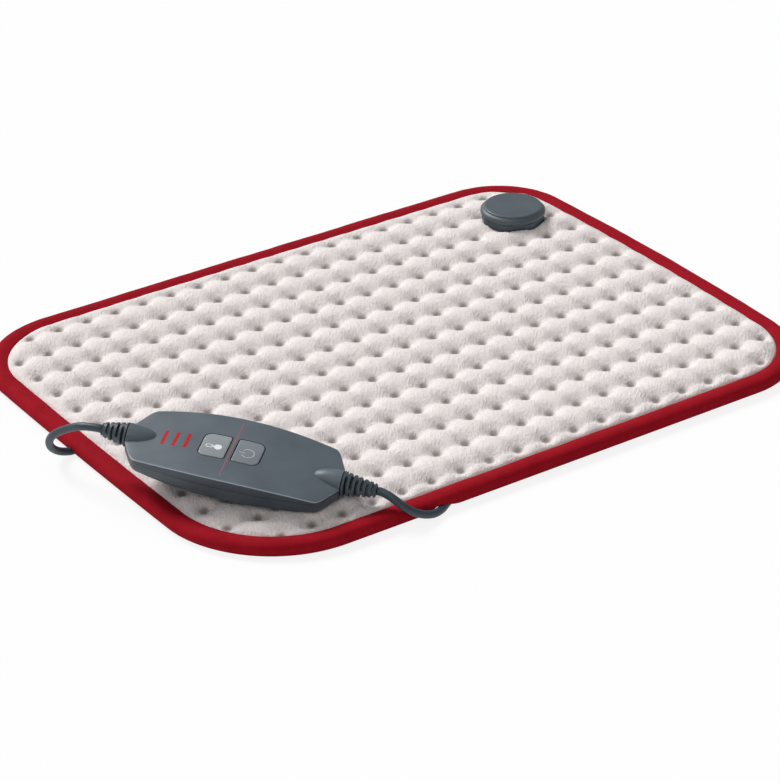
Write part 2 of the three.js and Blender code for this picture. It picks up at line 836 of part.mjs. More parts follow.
function makeCouplingCap() {
  const spigot = couplingStemRadius - couplingWall - meetGap;
  const inner = spigot - couplingWall;
  const flare = couplingCapRadius;
  const top = couplingCapTopRadius;
  const rim = couplingWall;
  const profile = [
    [top - rim - capDish, couplingCapHeight - capDish],
    [top - rim, couplingCapHeight],
    [top, couplingCapHeight],
    [top + (flare - top) / 2, couplingCapHeight - couplingWall / 2],
    [flare, couplingCapHeight - 2 * couplingWall],
    [flare, capDish],
    [flare - capDish, 0],
    [spigot, 0],
    [spigot, -capSpigotDepth],
    [inner, -capSpigotDepth],
    [inner, couplingCapHeight - couplingWall - capDish],
  ];
  return revolved(profile, 36).translate(couplingX, couplingY, couplingCapLow);
}

function makeBackPlate() {
  const boreRadius = couplingStemRadius - couplingWall;
  const plate = solidOf(drum(backPlateRadius, 0, backPlateThickness, couplingX, couplingY, 28));
  const pegs = [-1, 1].map((side) => {
    const x = couplingX + side * (boreRadius - pegRadius);
    return solidOf(drum(pegRadius, 0, pegTop, x, couplingY, 10));
  });
  return geometryOf(cut(joined(plate, ...pegs), solidOf(grommetBlock(meetGap))));
}

// Space of the grommet, grown by a clearance and open to the outside of the stem
function grommetBlock(clearance) {
  const length = grommetLength + 2 * couplingWall + overrun;
  const low = clearance > 0 ? -overrun : leadFloorClearance;
  return block(
    grommetWidth + 2 * clearance,
    length + 2 * clearance,
    low,
    grommetHeight + clearance,
    couplingX,
    grommetFarY - length / 2,
  );
}

function addCoupling() {
  addPiece(assembly, 'coupling_base', makeCouplingBase(), colours.coupling, 0.5);
  addPiece(assembly, 'coupling_cap', makeCouplingCap(), colours.coupling, 0.5);
  addPiece(assembly, 'coupling_back_plate', makeBackPlate(), colours.coupling, 0.6);
  addPiece(assembly, 'coupling_grommet', grommetBlock(0), colours.rubber, 0.8);
  const low = backPlateThickness + coverGap;
  [-1, 1].forEach((side, k) => {
    const x = couplingX + side * (terminalWidth / 2 + couplingWall / 2);
    const terminal = block(terminalWidth, terminalLength, low, low + terminalHeight, x, couplingY);
    addPiece(assembly, `coupling_terminal_${k + 1}`, terminal, colours.brass, 0.35, 0.9);
  });
  const cutout = alongX(drum(cutoutRadius, -cutoutLength / 2, cutoutLength / 2, 0, 0, 12));
  const cutoutY = couplingY - terminalLength / 2 - cutoutRadius - meetGap;
  cutout.translate(couplingX, cutoutY, low + cutoutRadius);
  addPiece(assembly, 'thermal_cutout', cutout, colours.metal, 0.4, 0.8);
}

// Controller housing: half width, top, side edge and belly at a place along it
const halfLength = housingLength / 2;
const halfShoulder = housingShoulder / 2;

function housingTop(u) {
  return -topArch * (u / halfLength) ** 2;
}

function housingHalfWidth(u) {
  const reach = Math.abs(u);
  const shoulderWidth = u < 0 ? padShoulderWidth : mainsShoulderWidth;
  if (reach <= halfShoulder) {
    return (housingWidth - (housingWidth - shoulderWidth) * (reach / halfShoulder) ** 2) / 2;
  }
  const share = (reach - halfShoulder) / (halfLength - halfShoulder);
  return (shoulderWidth + (housingEndWidth - shoulderWidth) * share) / 2;
}

function housingSide(u) {
  const share = Math.min(Math.abs(u) / halfShoulder, 1);
  return housingTop(u) - sideDepth + (sideDepth - sideEndDepth) * share * share;
}

function housingBelly(u) {
  return -housingThickness + bellyRise * (u / halfLength) ** 2;
}

function housingRing(u, wall) {
  const half = housingHalfWidth(u);
  const width = half - wall;
  const share = half / (housingWidth / 2);
  const top = housingTop(u) - wall;
  const belly = housingBelly(u) + wall;
  const side = Math.max(housingSide(u), belly + bevelDrop);
  const draft = sideDraft * share;
  const inset = bellyInset * share;
  const half1 = [
    [width - bevelWidth * share, top],
    [width, top - bevelDrop],
    [width - draft, side],
    [width - draft - inset * bellyCornerShare, (side + belly * 2) / 3],
    [width - inset, belly],
  ];
  const ring = [...half1, ...half1.map(([v, w]) => [-v, w]).reverse()];
  return ring.map(([v, w]) => new THREE.Vector3(u, v, w));
}

function housingForm(wall) {
  const places = [];
  for (const share of stationShares) places.push(share * halfShoulder);
  const ends = wall > 0 ? [halfShoulder - wall] : [halfShoulder, halfLength];
  const side = places.filter((u) => u < halfShoulder - wall);
  const right = [...side, ...ends];
  const all = [...right.slice().reverse().map((u) => -u), ...right.filter((u) => u > 0)];
  return solidOf(skin(all.map((u) => housingRing(u, wall))));
}

// Round housing over each strain relief, domed towards the middle of the face
function glandDome(side, wall) {
  const profile = domeShares.map((share) => [
    glandRadius * Math.sqrt(1 - share * share) * (1 - wall / glandRadius),
    share * (glandDomeLength - wall),
  ]);
  const dome = alongX(revolved(profile.map(([r, s]) => [r, Math.max(s, wall)]), 16));
  if (side > 0) dome.rotateZ(Math.PI);
  return solidOf(dome.translate(side * halfLength, 0, -glandAxisDepth));
}

function controllerBox(lengthU, widthV, low, high, u = 0, v = 0) {
  return solidOf(block(lengthU, widthV, low, high, u, v));
}

function buttonOutline(centre, side, grow) {
  const left = centre - buttonLength / 2 - grow;
  const right = centre + buttonLength / 2 + grow;
  const half = buttonWidth / 2 + grow;
  const outer = buttonOuterRadius + grow;
  const inner = buttonInnerRadius + grow;
  const [leftRadius, rightRadius] = side < 0 ? [outer, inner] : [inner, outer];
  const points = [];
  const corner = (x, y, radius, startDegrees) => {
    for (let step = 0; step <= archSteps; step += 1) {
      const angle = THREE.MathUtils.degToRad(startDegrees + (90 * step) / archSteps);
      points.push(new THREE.Vector2(x + radius * Math.cos(angle), y + radius * Math.sin(angle)));
    }
  };
  corner(right - rightRadius, half - rightRadius, rightRadius, 0);
  corner(left + leftRadius, half - leftRadius, leftRadius, 90);
  corner(left + leftRadius, -half + leftRadius, leftRadius, 180);
  corner(right - rightRadius, -half + rightRadius, rightRadius, 270);
  return points;
}

const buttonPlaces = [
  { name: 'heat', centre: heatButtonCentre, side: -1 },
  { name: 'power', centre: powerButtonCentre, side: 1 },
];
const buttonReach = Math.max(Math.abs(heatButtonCentre), Math.abs(powerButtonCentre)) + buttonLength / 2;
const buttonFlangeTop = housingTop(buttonReach) - housingWall - meetGap;
const buttonFlangeLow = buttonFlangeTop - buttonFlangeThickness;
const switchTop = -boardTopDepth + coverGap + switchHeight;
const plungerTop = buttonFlangeLow - meetGap;
const plungerLow = switchTop - plungerHeight;

function screwPlaces() {
  const corners = [[-1, -1], [1, -1], [1, 1], [-1, 1]];
  return corners.map(([signU, signV]) => [signU * screwPlaceU, signV * screwPlaceV]);
}

function hollowHousing() {
  const outer = joined(housingForm(0), glandDome(-1, 0), glandDome(1, 0));
  const inner = joined(housingForm(housingWall), glandDome(-1, housingWall), glandDome(1, housingWall));
  const length = 3 * housingWall;
  const holes = [-1, 1].map((side) => {
    const hole = new THREE.CylinderGeometry(neckHole, neckHole, length, 16).rotateZ(Math.PI / 2);
    return solidOf(hole.translate(side * (halfLength - housingWall), 0, -glandAxisDepth));
  });
  return { outer, shell: cut(outer, inner, ...holes) };
}

function slab(low, high) {
  return controllerBox(2 * housingLength, 2 * housingWidth, low, high);
}

function makeTopShell(housing) {
  const above = slab(-glandAxisDepth + partingGap / 2, housingThickness);
  const bosses = screwPlaces().map(([u, v]) => (
    solidOf(drum(screwBossRadius, -glandAxisDepth, housingTop(u) - housingWall / 2, u, v, 16))
  ));
  const inside = bosses.map((boss) => boss.intersect(housing.outer));
  const shell = joined(housing.shell, ...inside).intersect(above);
  const screwHoles = screwPlaces().map(([u, v]) => (
    solidOf(drum(screwShankRadius + trimGap, -housingThickness, screwTop(u) + trimGap, u, v, 12))
  ));
  const openings = buttonPlaces.map(({ centre, side }) => (
    solidOf(prism(buttonOutline(centre, side, buttonGap), buttonFlangeLow, housingWall))
  ));
  const slots = lightBarPlaces.map((u) => (
    controllerBox(lightBarWidth + 2 * trimGap, lightBarLength + 2 * trimGap, -glandAxisDepth, housingWall, u)
  ));
  const groove = controllerBox(
    accentWidth + 2 * trimGap,
    accentLength + 2 * trimGap,
    -accentDepth - trimGap,
    housingWall,
    accentPlace,
    accentCentreV,
  );
  return geometryOf(cut(shell, ...screwHoles, ...openings, ...slots, groove));
}

function screwTop(u) {
  return housingTop(u) - housingWall / 2 - meetGap;
}

function screwSeat(u) {
  return housingBelly(u) + screwHeadHeight + meetGap;
}

function makeBottomShell(housing) {
  const below = slab(-2 * housingThickness, -glandAxisDepth - partingGap / 2);
  const bosses = screwPlaces().map(([u, v]) => (
    solidOf(drum(screwBossRadius, housingBelly(u) + housingWall / 2, -glandAxisDepth, u, v, 16))
  ));
  const posts = [-1, 1].flatMap((signU) => [-1, 1].map((signV) => {
    const u = signU * (boardLength / 2 - screwBossRadius);
    const low = housingBelly(u) + housingWall / 2;
    return solidOf(drum(screwHeadRadius, low, boardLow - coverGap, u, signV * postPlaceV, 12));
  }));
  const added = [...bosses, ...posts].map((form) => form.intersect(housing.outer));
  const shell = joined(housing.shell, ...added).intersect(below);
  const holes = screwPlaces().flatMap(([u, v]) => [
    solidOf(drum(screwShankRadius + trimGap, -2 * housingThickness, 0, u, v, 12)),
    solidOf(drum(screwHeadRadius + trimGap, -2 * housingThickness, screwSeat(u), u, v, 16)),
  ]);
  return geometryOf(cut(shell, ...holes));
}

function makeScrew(u, v) {
  const seat = screwSeat(u) - trimGap;
  const head = solidOf(drum(screwHeadRadius, seat - screwHeadHeight, seat, u, v, 12));
  const shank = solidOf(drum(screwShankRadius, seat - screwHeadHeight / 2, screwTop(u), u, v, 10));
  return geometryOf(joined(head, shank));
}

function makeButton(centre, side, outer) {
  const reach = solidOf(prism(buttonOutline(centre, side, 0), buttonFlangeLow, housingWall));
  const cap = reach.intersect(outer.translate([0, 0, buttonTopAbove]));
  const flange = solidOf(prism(buttonOutline(centre, side, buttonFlange), buttonFlangeLow, buttonFlangeTop));
  return geometryOf(joined(cap, flange));
}

function makeSwitch(centre) {
  const body = controllerBox(switchSize, switchSize, -boardTopDepth + coverGap, switchTop, centre);
  const wellLow = plungerLow - buttonTravel - trimGap;
  const well = solidOf(drum(plungerRadius + trimGap, wellLow, switchTop + overrun, centre, 0, 12));
  return geometryOf(cut(body, well));
}

function addButtons(controller, outer) {
  buttonPlaces.forEach(({ name, centre, side }) => {
    addPiece(controller, `${name}_button`, makeButton(centre, side, outer), colours.button, 0.5);
    const plunger = drum(plungerRadius, plungerLow, plungerTop, centre, 0, 12);
    addPiece(controller, `${name}_plunger`, plunger, colours.dark, 0.5);
    addPiece(controller, `${name}_switch`, makeSwitch(centre), colours.dark, 0.6);
  });
}

// Trim pieces end just above the arched top face
function addLights(controller, outer) {
  const ledTop = -boardTopDepth + coverGap + ledHeight;
  const ceiling = outer.translate([0, 0, trimRise]);
  lightBarPlaces.forEach((u, k) => {
    const bar = controllerBox(lightBarWidth, lightBarLength, ledTop + meetGap, housingWall, u);
    addPiece(controller, `light_bar_${k + 1}`, geometryOf(bar.intersect(ceiling)), colours.light, 0.3);
    const led = block(ledWidth, ledLength, -boardTopDepth + coverGap, ledTop, u);
    addPiece(controller, `led_${k + 1}`, led, colours.fleece, 0.3);
  });
  const low = -accentDepth;
  const line = controllerBox(accentWidth, accentLength, low, housingWall, accentPlace, accentCentreV);
  addPiece(controller, 'accent_line', geometryOf(line.intersect(ceiling)), colours.accent, 0.4);
}

function addElectronics(controller) {
  const top = -boardTopDepth + coverGap;
  const boardEnd = boardLength / 2;
  const board = block(boardLength, boardWidth, boardLow, -boardTopDepth);
  addPiece(controller, 'circuit_board', board, colours.board, 0.6);
  const triacU = boardEnd - triacInset;
  const triac = block(triacLength, triacWidth, top, top + triacHeight, triacU, -boardWidth / 4);
  addPiece(controller, 'triac', triac, colours.dark, 0.5);
  const capacitorTop = top + capacitorHeight;
  const capacitorU = boardEnd - capacitorInset;
  const capacitor = block(capacitorLength, capacitorWidth, top, capacitorTop, capacitorU, boardWidth / 4);
  addPiece(controller, 'film_capacitor', capacitor, colours.yellow, 0.5);
  const fuse = alongX(drum(fuseRadius, -fuseLength / 2, fuseLength / 2, 0, 0, 12));
  fuse.translate(boardEnd - fuseInset, 0, top + fuseRadius);
  addPiece(controller, 'fuse', fuse, colours.metal, 0.3, 0.6);
  const chip = block(chipSize, chipSize, top, top + chipHeight, heatButtonCentre, -boardWidth / 3);
  addPiece(controller, 'control_chip', chip, colours.dark, 0.6);
}

// Ribbed strain relief along +X from its seat: flange and neck inside, slotted taper outside
function reliefGeometry(length, wideRadius, inner) {
  const pitch = length / (reliefSlots + 1 - reliefSlotShare);
  const radiusAt = (s) => wideRadius - ((wideRadius - reliefEndRadius) * s) / length;
  const profile = [];
  if (inner) {
    const flangeEnd = -housingWall - meetGap;
    profile.push([reliefFlangeRadius, flangeEnd - reliefFlangeThickness]);
    profile.push([reliefFlangeRadius, flangeEnd], [reliefNeckRadius, flangeEnd], [reliefNeckRadius, 0]);
  }
  for (let rib = 0; rib <= reliefSlots; rib += 1) {
    const start = rib * pitch;
    const end = start + pitch * (1 - reliefSlotShare);
    profile.push([radiusAt(start), start], [radiusAt(end), end]);
    if (rib < reliefSlots) profile.push([reliefCoreRadius, end], [reliefCoreRadius, start + pitch]);
  }
  return alongX(revolved(profile, 10));
}

function addReliefs(controller) {
  const outside = halfLength + meetGap;
  const padRelief = reliefGeometry(padReliefLength, glandRadius, true).rotateZ(Math.PI);
  padRelief.translate(-outside, 0, -glandAxisDepth);
  addPiece(controller, 'pad_lead_relief', padRelief, colours.rubber, 0.7);
  const mainsRelief = reliefGeometry(mainsReliefLength, glandRadius, true);
  mainsRelief.translate(outside, 0, -glandAxisDepth);
  addPiece(controller, 'mains_lead_relief', mainsRelief, colours.rubber, 0.7);
  const innerEnd = halfLength - housingWall - reliefFlangeThickness - 2 * meetGap;
  const innerLength = innerEnd - boardLength / 2 - meetGap;
  [['pad_lead_inner', -1], ['mains_lead_inner', 1]].forEach(([name, side]) => {
    const lead = alongX(drum(leadInnerRadius, -innerLength / 2, innerLength / 2, 0, 0, 10));
    lead.translate(side * (innerEnd - innerLength / 2), 0, -glandAxisDepth);
    addPiece(controller, name, lead, colours.rubber, 0.7);
  });
}

// The housing settles on the crowns of the quilting
function controllerSeat(controller) {
  controller.updateMatrix();
  let seat = -Infinity;
  const samples = 24;
  for (let i = -samples; i <= samples; i += 1) {
    const u = (halfLength * i) / samples;
    for (const point of housingRing(u, 0)) {
      for (const share of [1, 0.8, 0.6, 0.4, 0.2, 0]) {
        const low = point.clone().setY(point.y * share).applyMatrix4(controller.matrix);
        seat = Math.max(seat, quiltHeight(low.x, low.y) - low.z);
      }
    }
  }
  return seat + meetGap;
}

function makeController() {
  const controller = new THREE.Group();
  controller.rotation.set(controllerRoll, controllerPitch, controllerYaw, 'ZYX');
  controller.position.set(controllerX, controllerY, 0);
  controller.position.z = controllerSeat(controller);
  const housing = hollowHousing();
  addPiece(controller, 'controller_top_shell', makeTopShell(housing), colours.housing, 0.45);
  addPiece(controller, 'controller_bottom_shell', makeBottomShell(housing), colours.housingLower, 0.5);
  addButtons(controller, housing.outer);
  addLights(controller, housing.outer);
  addElectronics(controller);
  screwPlaces().forEach(([u, v], k) => {
    addPiece(controller, `case_screw_${k + 1}`, makeScrew(u, v), colours.metal, 0.35, 0.9);
  });
  addReliefs(controller);
  return controller;
}

// Where a relief's narrow end lies, and which way it points, on the surface's axes
function reliefEnd(controller, side, length) {
  controller.updateMatrixWorld(true);
  const reach = halfLength + meetGap + length;
  const end = new THREE.Vector3(side * (reach + meetGap), 0, -glandAxisDepth);
  const next = new THREE.Vector3(side * (reach + meetGap + leadRadius), 0, -glandAxisDepth);
  return [end, next].map((point) => point.applyMatrix4(controller.matrixWorld));
}

function lifted(route) {
  return route.map((point) => new THREE.Vector3(point.x, point.y, leadFloorZ));
}

function vectors(route) {
  return route.map(([x, y, z]) => new THREE.Vector3(x, y, z));
}

// The stretches of the leads in the air, as far as the pad's edge
function padLeadAir(controller) {
  const start = reliefEnd(controller, -1, padReliefLength);
  const under = lifted(padLeadUnderRoute()).slice(1, 3);
  return smoothRun([...start, ...vectors(padLeadDrop)], under, airSteps);
}

function mainsLeadAir(controller) {
  const start = reliefEnd(controller, 1, mainsReliefLength);
  const under = lifted(mainsLeadUnderRoute()).slice(1, 3);
  return smoothRun([...start, ...vectors(mainsLeadDrop.slice(0, -1))], under, airSteps);
}

// Room for each lead where it dips under the edge
function leadDips() {
  return [padLeadAir(controller), mainsLeadAir(controller)].map((run) => (
    solidOf(roundSweep(run.slice(-3 * airSteps), channelRadius, 2 * leadSides))
  ));
}

function makePadLead() {
  const under = lifted(padLeadUnderRoute()).slice(1);
  return roundSweep([...padLeadAir(controller), ...under], leadRadius, leadSides);
}

// Coil: turns spiral in on one layer and out on the next, climbing where they reverse
const coilTurns = coilTurnsPerLayer * coilLayers;
const coilOuterRadius = coilMeanRadius + (coilTurnsPerLayer * coilPitch) / 2;
const coilInnerRadius = coilMeanRadius - (coilTurnsPerLayer * coilPitch) / 2;
const coilY = nearRunY - coilOuterRadius;
const coilLowZ = leadFloorZ + tieThickness + meetGap;
const coilHighZ = coilLowZ + coilPitch;

function coilPoint(turn) {
  const reversal = coilTurnsPerLayer;
  const radius = coilInnerRadius + coilPitch * Math.abs(turn - reversal);
  const climb = THREE.MathUtils.clamp((turn - reversal) * 2 + 0.5, 0, 1);
  const angle = Math.PI / 2 - 2 * Math.PI * turn;
  return new THREE.Vector3(
    coilX + radius * Math.cos(angle),
    coilY + radius * Math.sin(angle),
    THREE.MathUtils.lerp(coilLowZ, coilHighZ, climb * climb * (3 - 2 * climb)),
  );
}

function coilCentreline() {
  const points = [];
  for (let step = 0; step <= coilTurns * coilSteps; step += 1) points.push(coilPoint(step / coilSteps));
  const first = points[0].clone();
  const last = points[points.length - 1].clone();
  first.x -= leadDiameter;
  last.x += leadDiameter;
  return [first, ...points, last];
}

function leastSelfGap(points) {
  let least = Infinity;
  for (let i = 0; i < points.length; i += 1) {
    for (let j = i + coilSteps / 2; j < points.length; j += 1) {
      least = Math.min(least, points[i].distanceTo(points[j]));
    }
  }
  return least - leadDiameter;
}

// A tube of rings square to its centreline, as one skin
function roundSweep(points, radius, sides) {
  const up = new THREE.Vector3(0, 0, 1);
  const rings = points.map((point, i) => {
    const before = points[Math.max(i - 1, 0)];
    const after = points[Math.min(i + 1, points.length - 1)];
    const along = after.clone().sub(before).normalize();
    const side = new THREE.Vector3().crossVectors(along, up).normalize();
    const lift = new THREE.Vector3().crossVectors(side, along);
    const ring = [];
    for (let k = 0; k < sides; k += 1) {
      const angle = (2 * Math.PI * k) / sides;
      const spoke = side.clone().multiplyScalar(radius * Math.cos(angle));
      ring.push(spoke.addScaledVector(lift, radius * Math.sin(angle)).add(point));
    }
    return ring;
  });
  return skin(rings);
}

function makeMainsLead() {
  const coilStart = coilX - leadDiameter - meetGap;
  const under = lifted(mainsLeadUnderRoute()).slice(1, -1);
  const toCoil = [
    new THREE.Vector3(padLength / 2 - leadDiameter, nearRunY, leadFloorZ),
    new THREE.Vector3(padLength / 2 + leadDiameter, nearRunY, leadFloorZ),
    new THREE.Vector3(coilStart - leadDiameter, nearRunY, coilLowZ),
    new THREE.Vector3(coilStart, nearRunY, coilLowZ),
  ];
  return roundSweep([...mainsLeadAir(controller), ...under, ...toCoil], leadRadius, leadSides);
}

function makePlugLead() {
  const start = coilX + leadDiameter + meetGap;
  const end = plugReliefY - meetGap;
  const points = [
    new THREE.Vector3(start, nearRunY, coilHighZ),
    new THREE.Vector3(start + leadRadius, nearRunY, coilHighZ),
    ...vectors(plugLeadDrop),
    new THREE.Vector3(plugX, end - leadRadius, plugAxisZ),
    new THREE.Vector3(plugX, end, plugAxisZ),
  ];
  return roundSweep(smoothRun(points, [], 2), leadRadius, leadSides);
}

function makeTie() {
  const halfTie = tieWidth / 2;
  const innerTurn = coilInnerRadius + coilPitch / 2 - leadRadius;
  const innerY = coilY - Math.sqrt(innerTurn * innerTurn - halfTie * halfTie) + 2 * meetGap;
  const outerY = coilY - coilOuterRadius + coilPitch / 2 - leadRadius - meetGap;
  const low = leadFloorClearance + tieThickness;
  const high = coilHighZ + leadRadius + meetGap;
  const frame = new THREE.Shape([
    new THREE.Vector2(outerY - tieThickness, low - tieThickness),
    new THREE.Vector2(innerY + tieThickness, low - tieThickness),
    new THREE.Vector2(innerY + tieThickness, high + tieThickness),
    new THREE.Vector2(outerY - tieThickness, high + tieThickness),
  ]);
  frame.holes.push(new THREE.Path([
    new THREE.Vector2(outerY, low),
    new THREE.Vector2(outerY, high),
    new THREE.Vector2(innerY, high),
    new THREE.Vector2(innerY, low),
  ]));
  const band = new THREE.ExtrudeGeometry(frame, { depth: tieWidth, bevelEnabled: false, steps: 1 });
  return band.rotateZ(Math.PI / 2).rotateY(Math.PI / 2).translate(coilX - halfTie, 0, 0);
}

// Two-pin plug lying on its side of least height, pins along +Y
function plugRing(s, width, height) {
  const edge = plugEdgeShare * height;
  const shoulder = plugShoulderShare * width;
  const quarter = [[width / 2, edge / 2], [shoulder / 2, height / 2]];
  const ring = [
    ...quarter,
    ...quarter.map(([x, z]) => [-x, z]).reverse(),
    ...quarter.map(([x, z]) => [-x, -z]),
    ...quarter.map(([x, z]) => [x, -z]).reverse(),
  ];
  const y = plugReliefY + plugReliefLength + s;
  return ring.map(([x, z]) => new THREE.Vector3(plugX + x, y, plugAxisZ + z));
}

function makePlugBody() {
  const rings = plugShares.map(([along, wide, high]) => plugRing(
    meetGap + along * plugLength,
    THREE.MathUtils.lerp(plugWaistWidth, plugWidth, wide),
    THREE.MathUtils.lerp(plugWaistHeight, plugHeight, high),
  ));
  return skin(rings);
}

function addMainsSide() {
  addPiece(assembly, 'mains_lead', makeMainsLead(), colours.rubber, 0.6);
  const coil = coilCentreline();
  console.log(`least gap between turns of the coil: ${leastSelfGap(coil).toFixed(2)} mm`);
  addPiece(assembly, 'mains_lead_coil', roundSweep(coil, leadRadius, coilSides), colours.rubber, 0.6);
  addPiece(assembly, 'coil_tie', makeTie(), colours.dark, 0.8);
  addPiece(assembly, 'plug_lead', makePlugLead(), colours.rubber, 0.6);
  const relief = reliefGeometry(plugReliefLength, plugReliefRadius, false).rotateZ(-Math.PI / 2);
  relief.translate(plugX, plugReliefY + plugReliefLength, plugAxisZ);
  addPiece(assembly, 'plug_relief', relief, colours.rubber, 0.7);
  addPiece(assembly, 'plug_body', makePlugBody(), colours.dark, 0.6);
  [-1, 1].forEach((side, k) => {
    const start = plugReliefY + plugReliefLength + plugLength + 2 * meetGap;
    const pin = new THREE.CylinderGeometry(pinRadius * pinTipShare, pinRadius, pinLength, 12);
    pin.translate(plugX + (side * pinSpacing) / 2, start + pinLength / 2, 0).translate(0, 0, plugAxisZ);
    addPiece(assembly, `plug_pin_${k + 1}`, pin, colours.metal, 0.3, 0.9);
  });
}

const controller = makeController();
assembly.add(controller);
addPad();
addCoupling();
addPiece(assembly, 'pad_lead', makePadLead(), colours.rubber, 0.6);
addMainsSide();

// The origin lies under the middle of the pad and controller, measured without the free leads
const freePieces = /^(pad_lead|mains_lead|mains_lead_coil|coil_tie|plug_.*)$/;
const extent = new THREE.Box3();
assembly.updateMatrixWorld(true);
assembly.traverse((piece) => {
  if (piece.isMesh && !freePieces.test(piece.name)) extent.expandByObject(piece, true);
});
assembly.position.x = -(extent.min.x + extent.max.x) / 2;

export default root;
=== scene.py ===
"""Heating pad with hand controller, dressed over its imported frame.

Lengths are millimetres until place() or metres().
"""
import math

import bmesh
import bpy
import numpy as np
from mathutils import Matrix, Vector, noise
from mathutils.bvhtree import BVHTree


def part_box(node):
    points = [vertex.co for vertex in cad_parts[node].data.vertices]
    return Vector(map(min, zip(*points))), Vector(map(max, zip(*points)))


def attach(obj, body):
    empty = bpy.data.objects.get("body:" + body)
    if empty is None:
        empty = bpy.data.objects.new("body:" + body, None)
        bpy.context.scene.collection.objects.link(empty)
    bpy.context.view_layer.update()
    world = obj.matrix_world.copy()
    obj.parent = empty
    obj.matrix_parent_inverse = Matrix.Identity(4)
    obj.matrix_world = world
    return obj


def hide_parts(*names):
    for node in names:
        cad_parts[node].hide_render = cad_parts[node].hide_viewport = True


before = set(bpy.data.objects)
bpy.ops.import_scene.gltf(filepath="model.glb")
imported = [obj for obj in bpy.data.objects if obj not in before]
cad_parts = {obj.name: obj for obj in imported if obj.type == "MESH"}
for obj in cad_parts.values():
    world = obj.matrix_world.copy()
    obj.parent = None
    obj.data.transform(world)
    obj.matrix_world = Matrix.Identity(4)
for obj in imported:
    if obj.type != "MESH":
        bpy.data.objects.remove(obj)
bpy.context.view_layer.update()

# Driving dimensions, as in the part's source
MM = 0.001
SQUARE = ((-1, -1), (1, -1), (1, 1), (-1, 1))
PAD_LENGTH = 440
PAD_WIDTH = 330
RADIUS_FAR_RIGHT = 48
RADIUS_FAR_LEFT = 62
RADIUS_NEAR_LEFT = 73
RADIUS_NEAR_RIGHT = 59
BOW_RIGHT = 6
BOW_LEFT = 2.4
BOW_FAR = 0.8
BOW_NEAR = 0.4
BINDING_HEIGHT = 8
BINDING_WIDTH = 11.6
BINDING_LIP = 1.1
BINDING_SLOT = 5
WELD_COLUMNS = 20
WELD_ROWS = 13
WELD_MARGIN_X = 14
WELD_MARGIN_Y = 9.3
WELD_PITCH_X = (PAD_LENGTH - 2 * WELD_MARGIN_X) / WELD_COLUMNS
WELD_PITCH_Y = (PAD_WIDTH - 2 * WELD_MARGIN_Y) / WELD_ROWS
WELD_SHIFT_Y = 2
CROWN_HEIGHT = 12.5
LEAD_DIAMETER = 4.8
LEAD_RADIUS = LEAD_DIAMETER / 2
LEAD_FLOOR_Z = LEAD_RADIUS + 0.1
COUPLING_X = 167.5
COUPLING_Y = 101
COUPLING_RADIUS = 21.6
COUPLING_TURN = math.radians(-137)
COUPLING_SEAT_Z = 10.5
FLANGE_LOW_Z = 10.8
FLANGE_TOP_Z = 15.8
CAP_LOW_Z = 15.9
CAP_HEIGHT = 6
CAP_TOP_RADIUS = 19.4
CAP_RIM = 1.8
CAP_DISH = 0.6
SPIGOT_DEPTH = 2.5
COUPLING_WALL = 1.8
STEM_RADIUS = 14
STEM_LOW_Z = 1.1
GROMMET_FAR_Y = COUPLING_Y + STEM_RADIUS + 3
HOUSING_LENGTH = 126.4
HALF_LENGTH = HOUSING_LENGTH / 2
HALF_SHOULDER = 55
PAD_SHOULDER_WIDTH = 47.6
MAINS_SHOULDER_WIDTH = 50.6
HOUSING_WIDTH = 59.2
HOUSING_END_WIDTH = 16
HOUSING_THICKNESS = 17.5
HOUSING_WALL = 2
TOP_ARCH = 5.4
SIDE_DEPTH = 12.3
SIDE_END_DEPTH = 3.7
BELLY_RISE = 4
SIDE_DRAFT = 1.5
BELLY_INSET = 7
BEVEL_WIDTH = 1.6
BEVEL_DROP = 0.9
GLAND_AXIS_DEPTH = 6.6
GLAND_RADIUS = 7.2
GLAND_DOME_LENGTH = 18
PARTING_GAP = 0.25
BUTTON_LENGTH = 15.6
BUTTON_WIDTH = 20.4
HEAT_BUTTON_U = -12.25
POWER_BUTTON_U = 7.65
BUTTON_RISE = 0.25
BUTTON_OUTER_RADIUS = 4.4
BUTTON_INNER_RADIUS = 1.3
BUTTON_GAP = 0.6
BUTTON_FLANGE = 1.3
BUTTON_FLANGE_THICKNESS = 0.8
LIGHT_BAR_SHARES = (0.88, 0.611, 0.343)
LIGHT_BAR_WIDTH = 1.7
LIGHT_BAR_LENGTH = 12.8
TRIM_GAP = 0.15
ACCENT_U = -2.3
ACCENT_V = -0.4
ACCENT_WIDTH = 0.7
ACCENT_LENGTH = 50.4
ACCENT_DEPTH = 0.5
SCREW_U = 50
SCREW_V = 13
SCREW_HEAD_RADIUS = 2.5
SCREW_HEAD_HEIGHT = 1.8
SCREW_SHANK_RADIUS = 1.25
SCREW_BOSS_RADIUS = 3.2
MEET_GAP = 0.3
PAD_RELIEF_LENGTH = 16
MAINS_RELIEF_LENGTH = 20
RELIEF_END_RADIUS = 4
RELIEF_CORE_RADIUS = 3.3
RELIEF_NECK_RADIUS = 3.8
PLUG_RELIEF_LENGTH = 25
CHANNEL_INSET = 22.1
COIL_X = 250
COIL_MEAN_RADIUS = 28.5
COIL_TURNS_PER_LAYER = 4
COIL_LAYERS = 2
COIL_PITCH = 5.4
PLUG_X = 296
PLUG_RELIEF_Y = -120
PLUG_RELIEF_RADIUS = 5.4
PLUG_AXIS_Z = 6.85

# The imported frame's origin lies under the middle of pad and controller
binding_low, binding_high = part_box("edge_binding")
SHIFT_X = (binding_low.x + binding_high.x) / 2


def place(x, y, z):
    """A point counted from the pad's centre, in millimetres, as a point of the frame in metres."""
    return Vector((x * MM + SHIFT_X, y * MM, z * MM))


def metres(points):
    """Many such points, as an array."""
    return np.asarray(points, float) * MM + np.array((SHIFT_X, 0, 0))


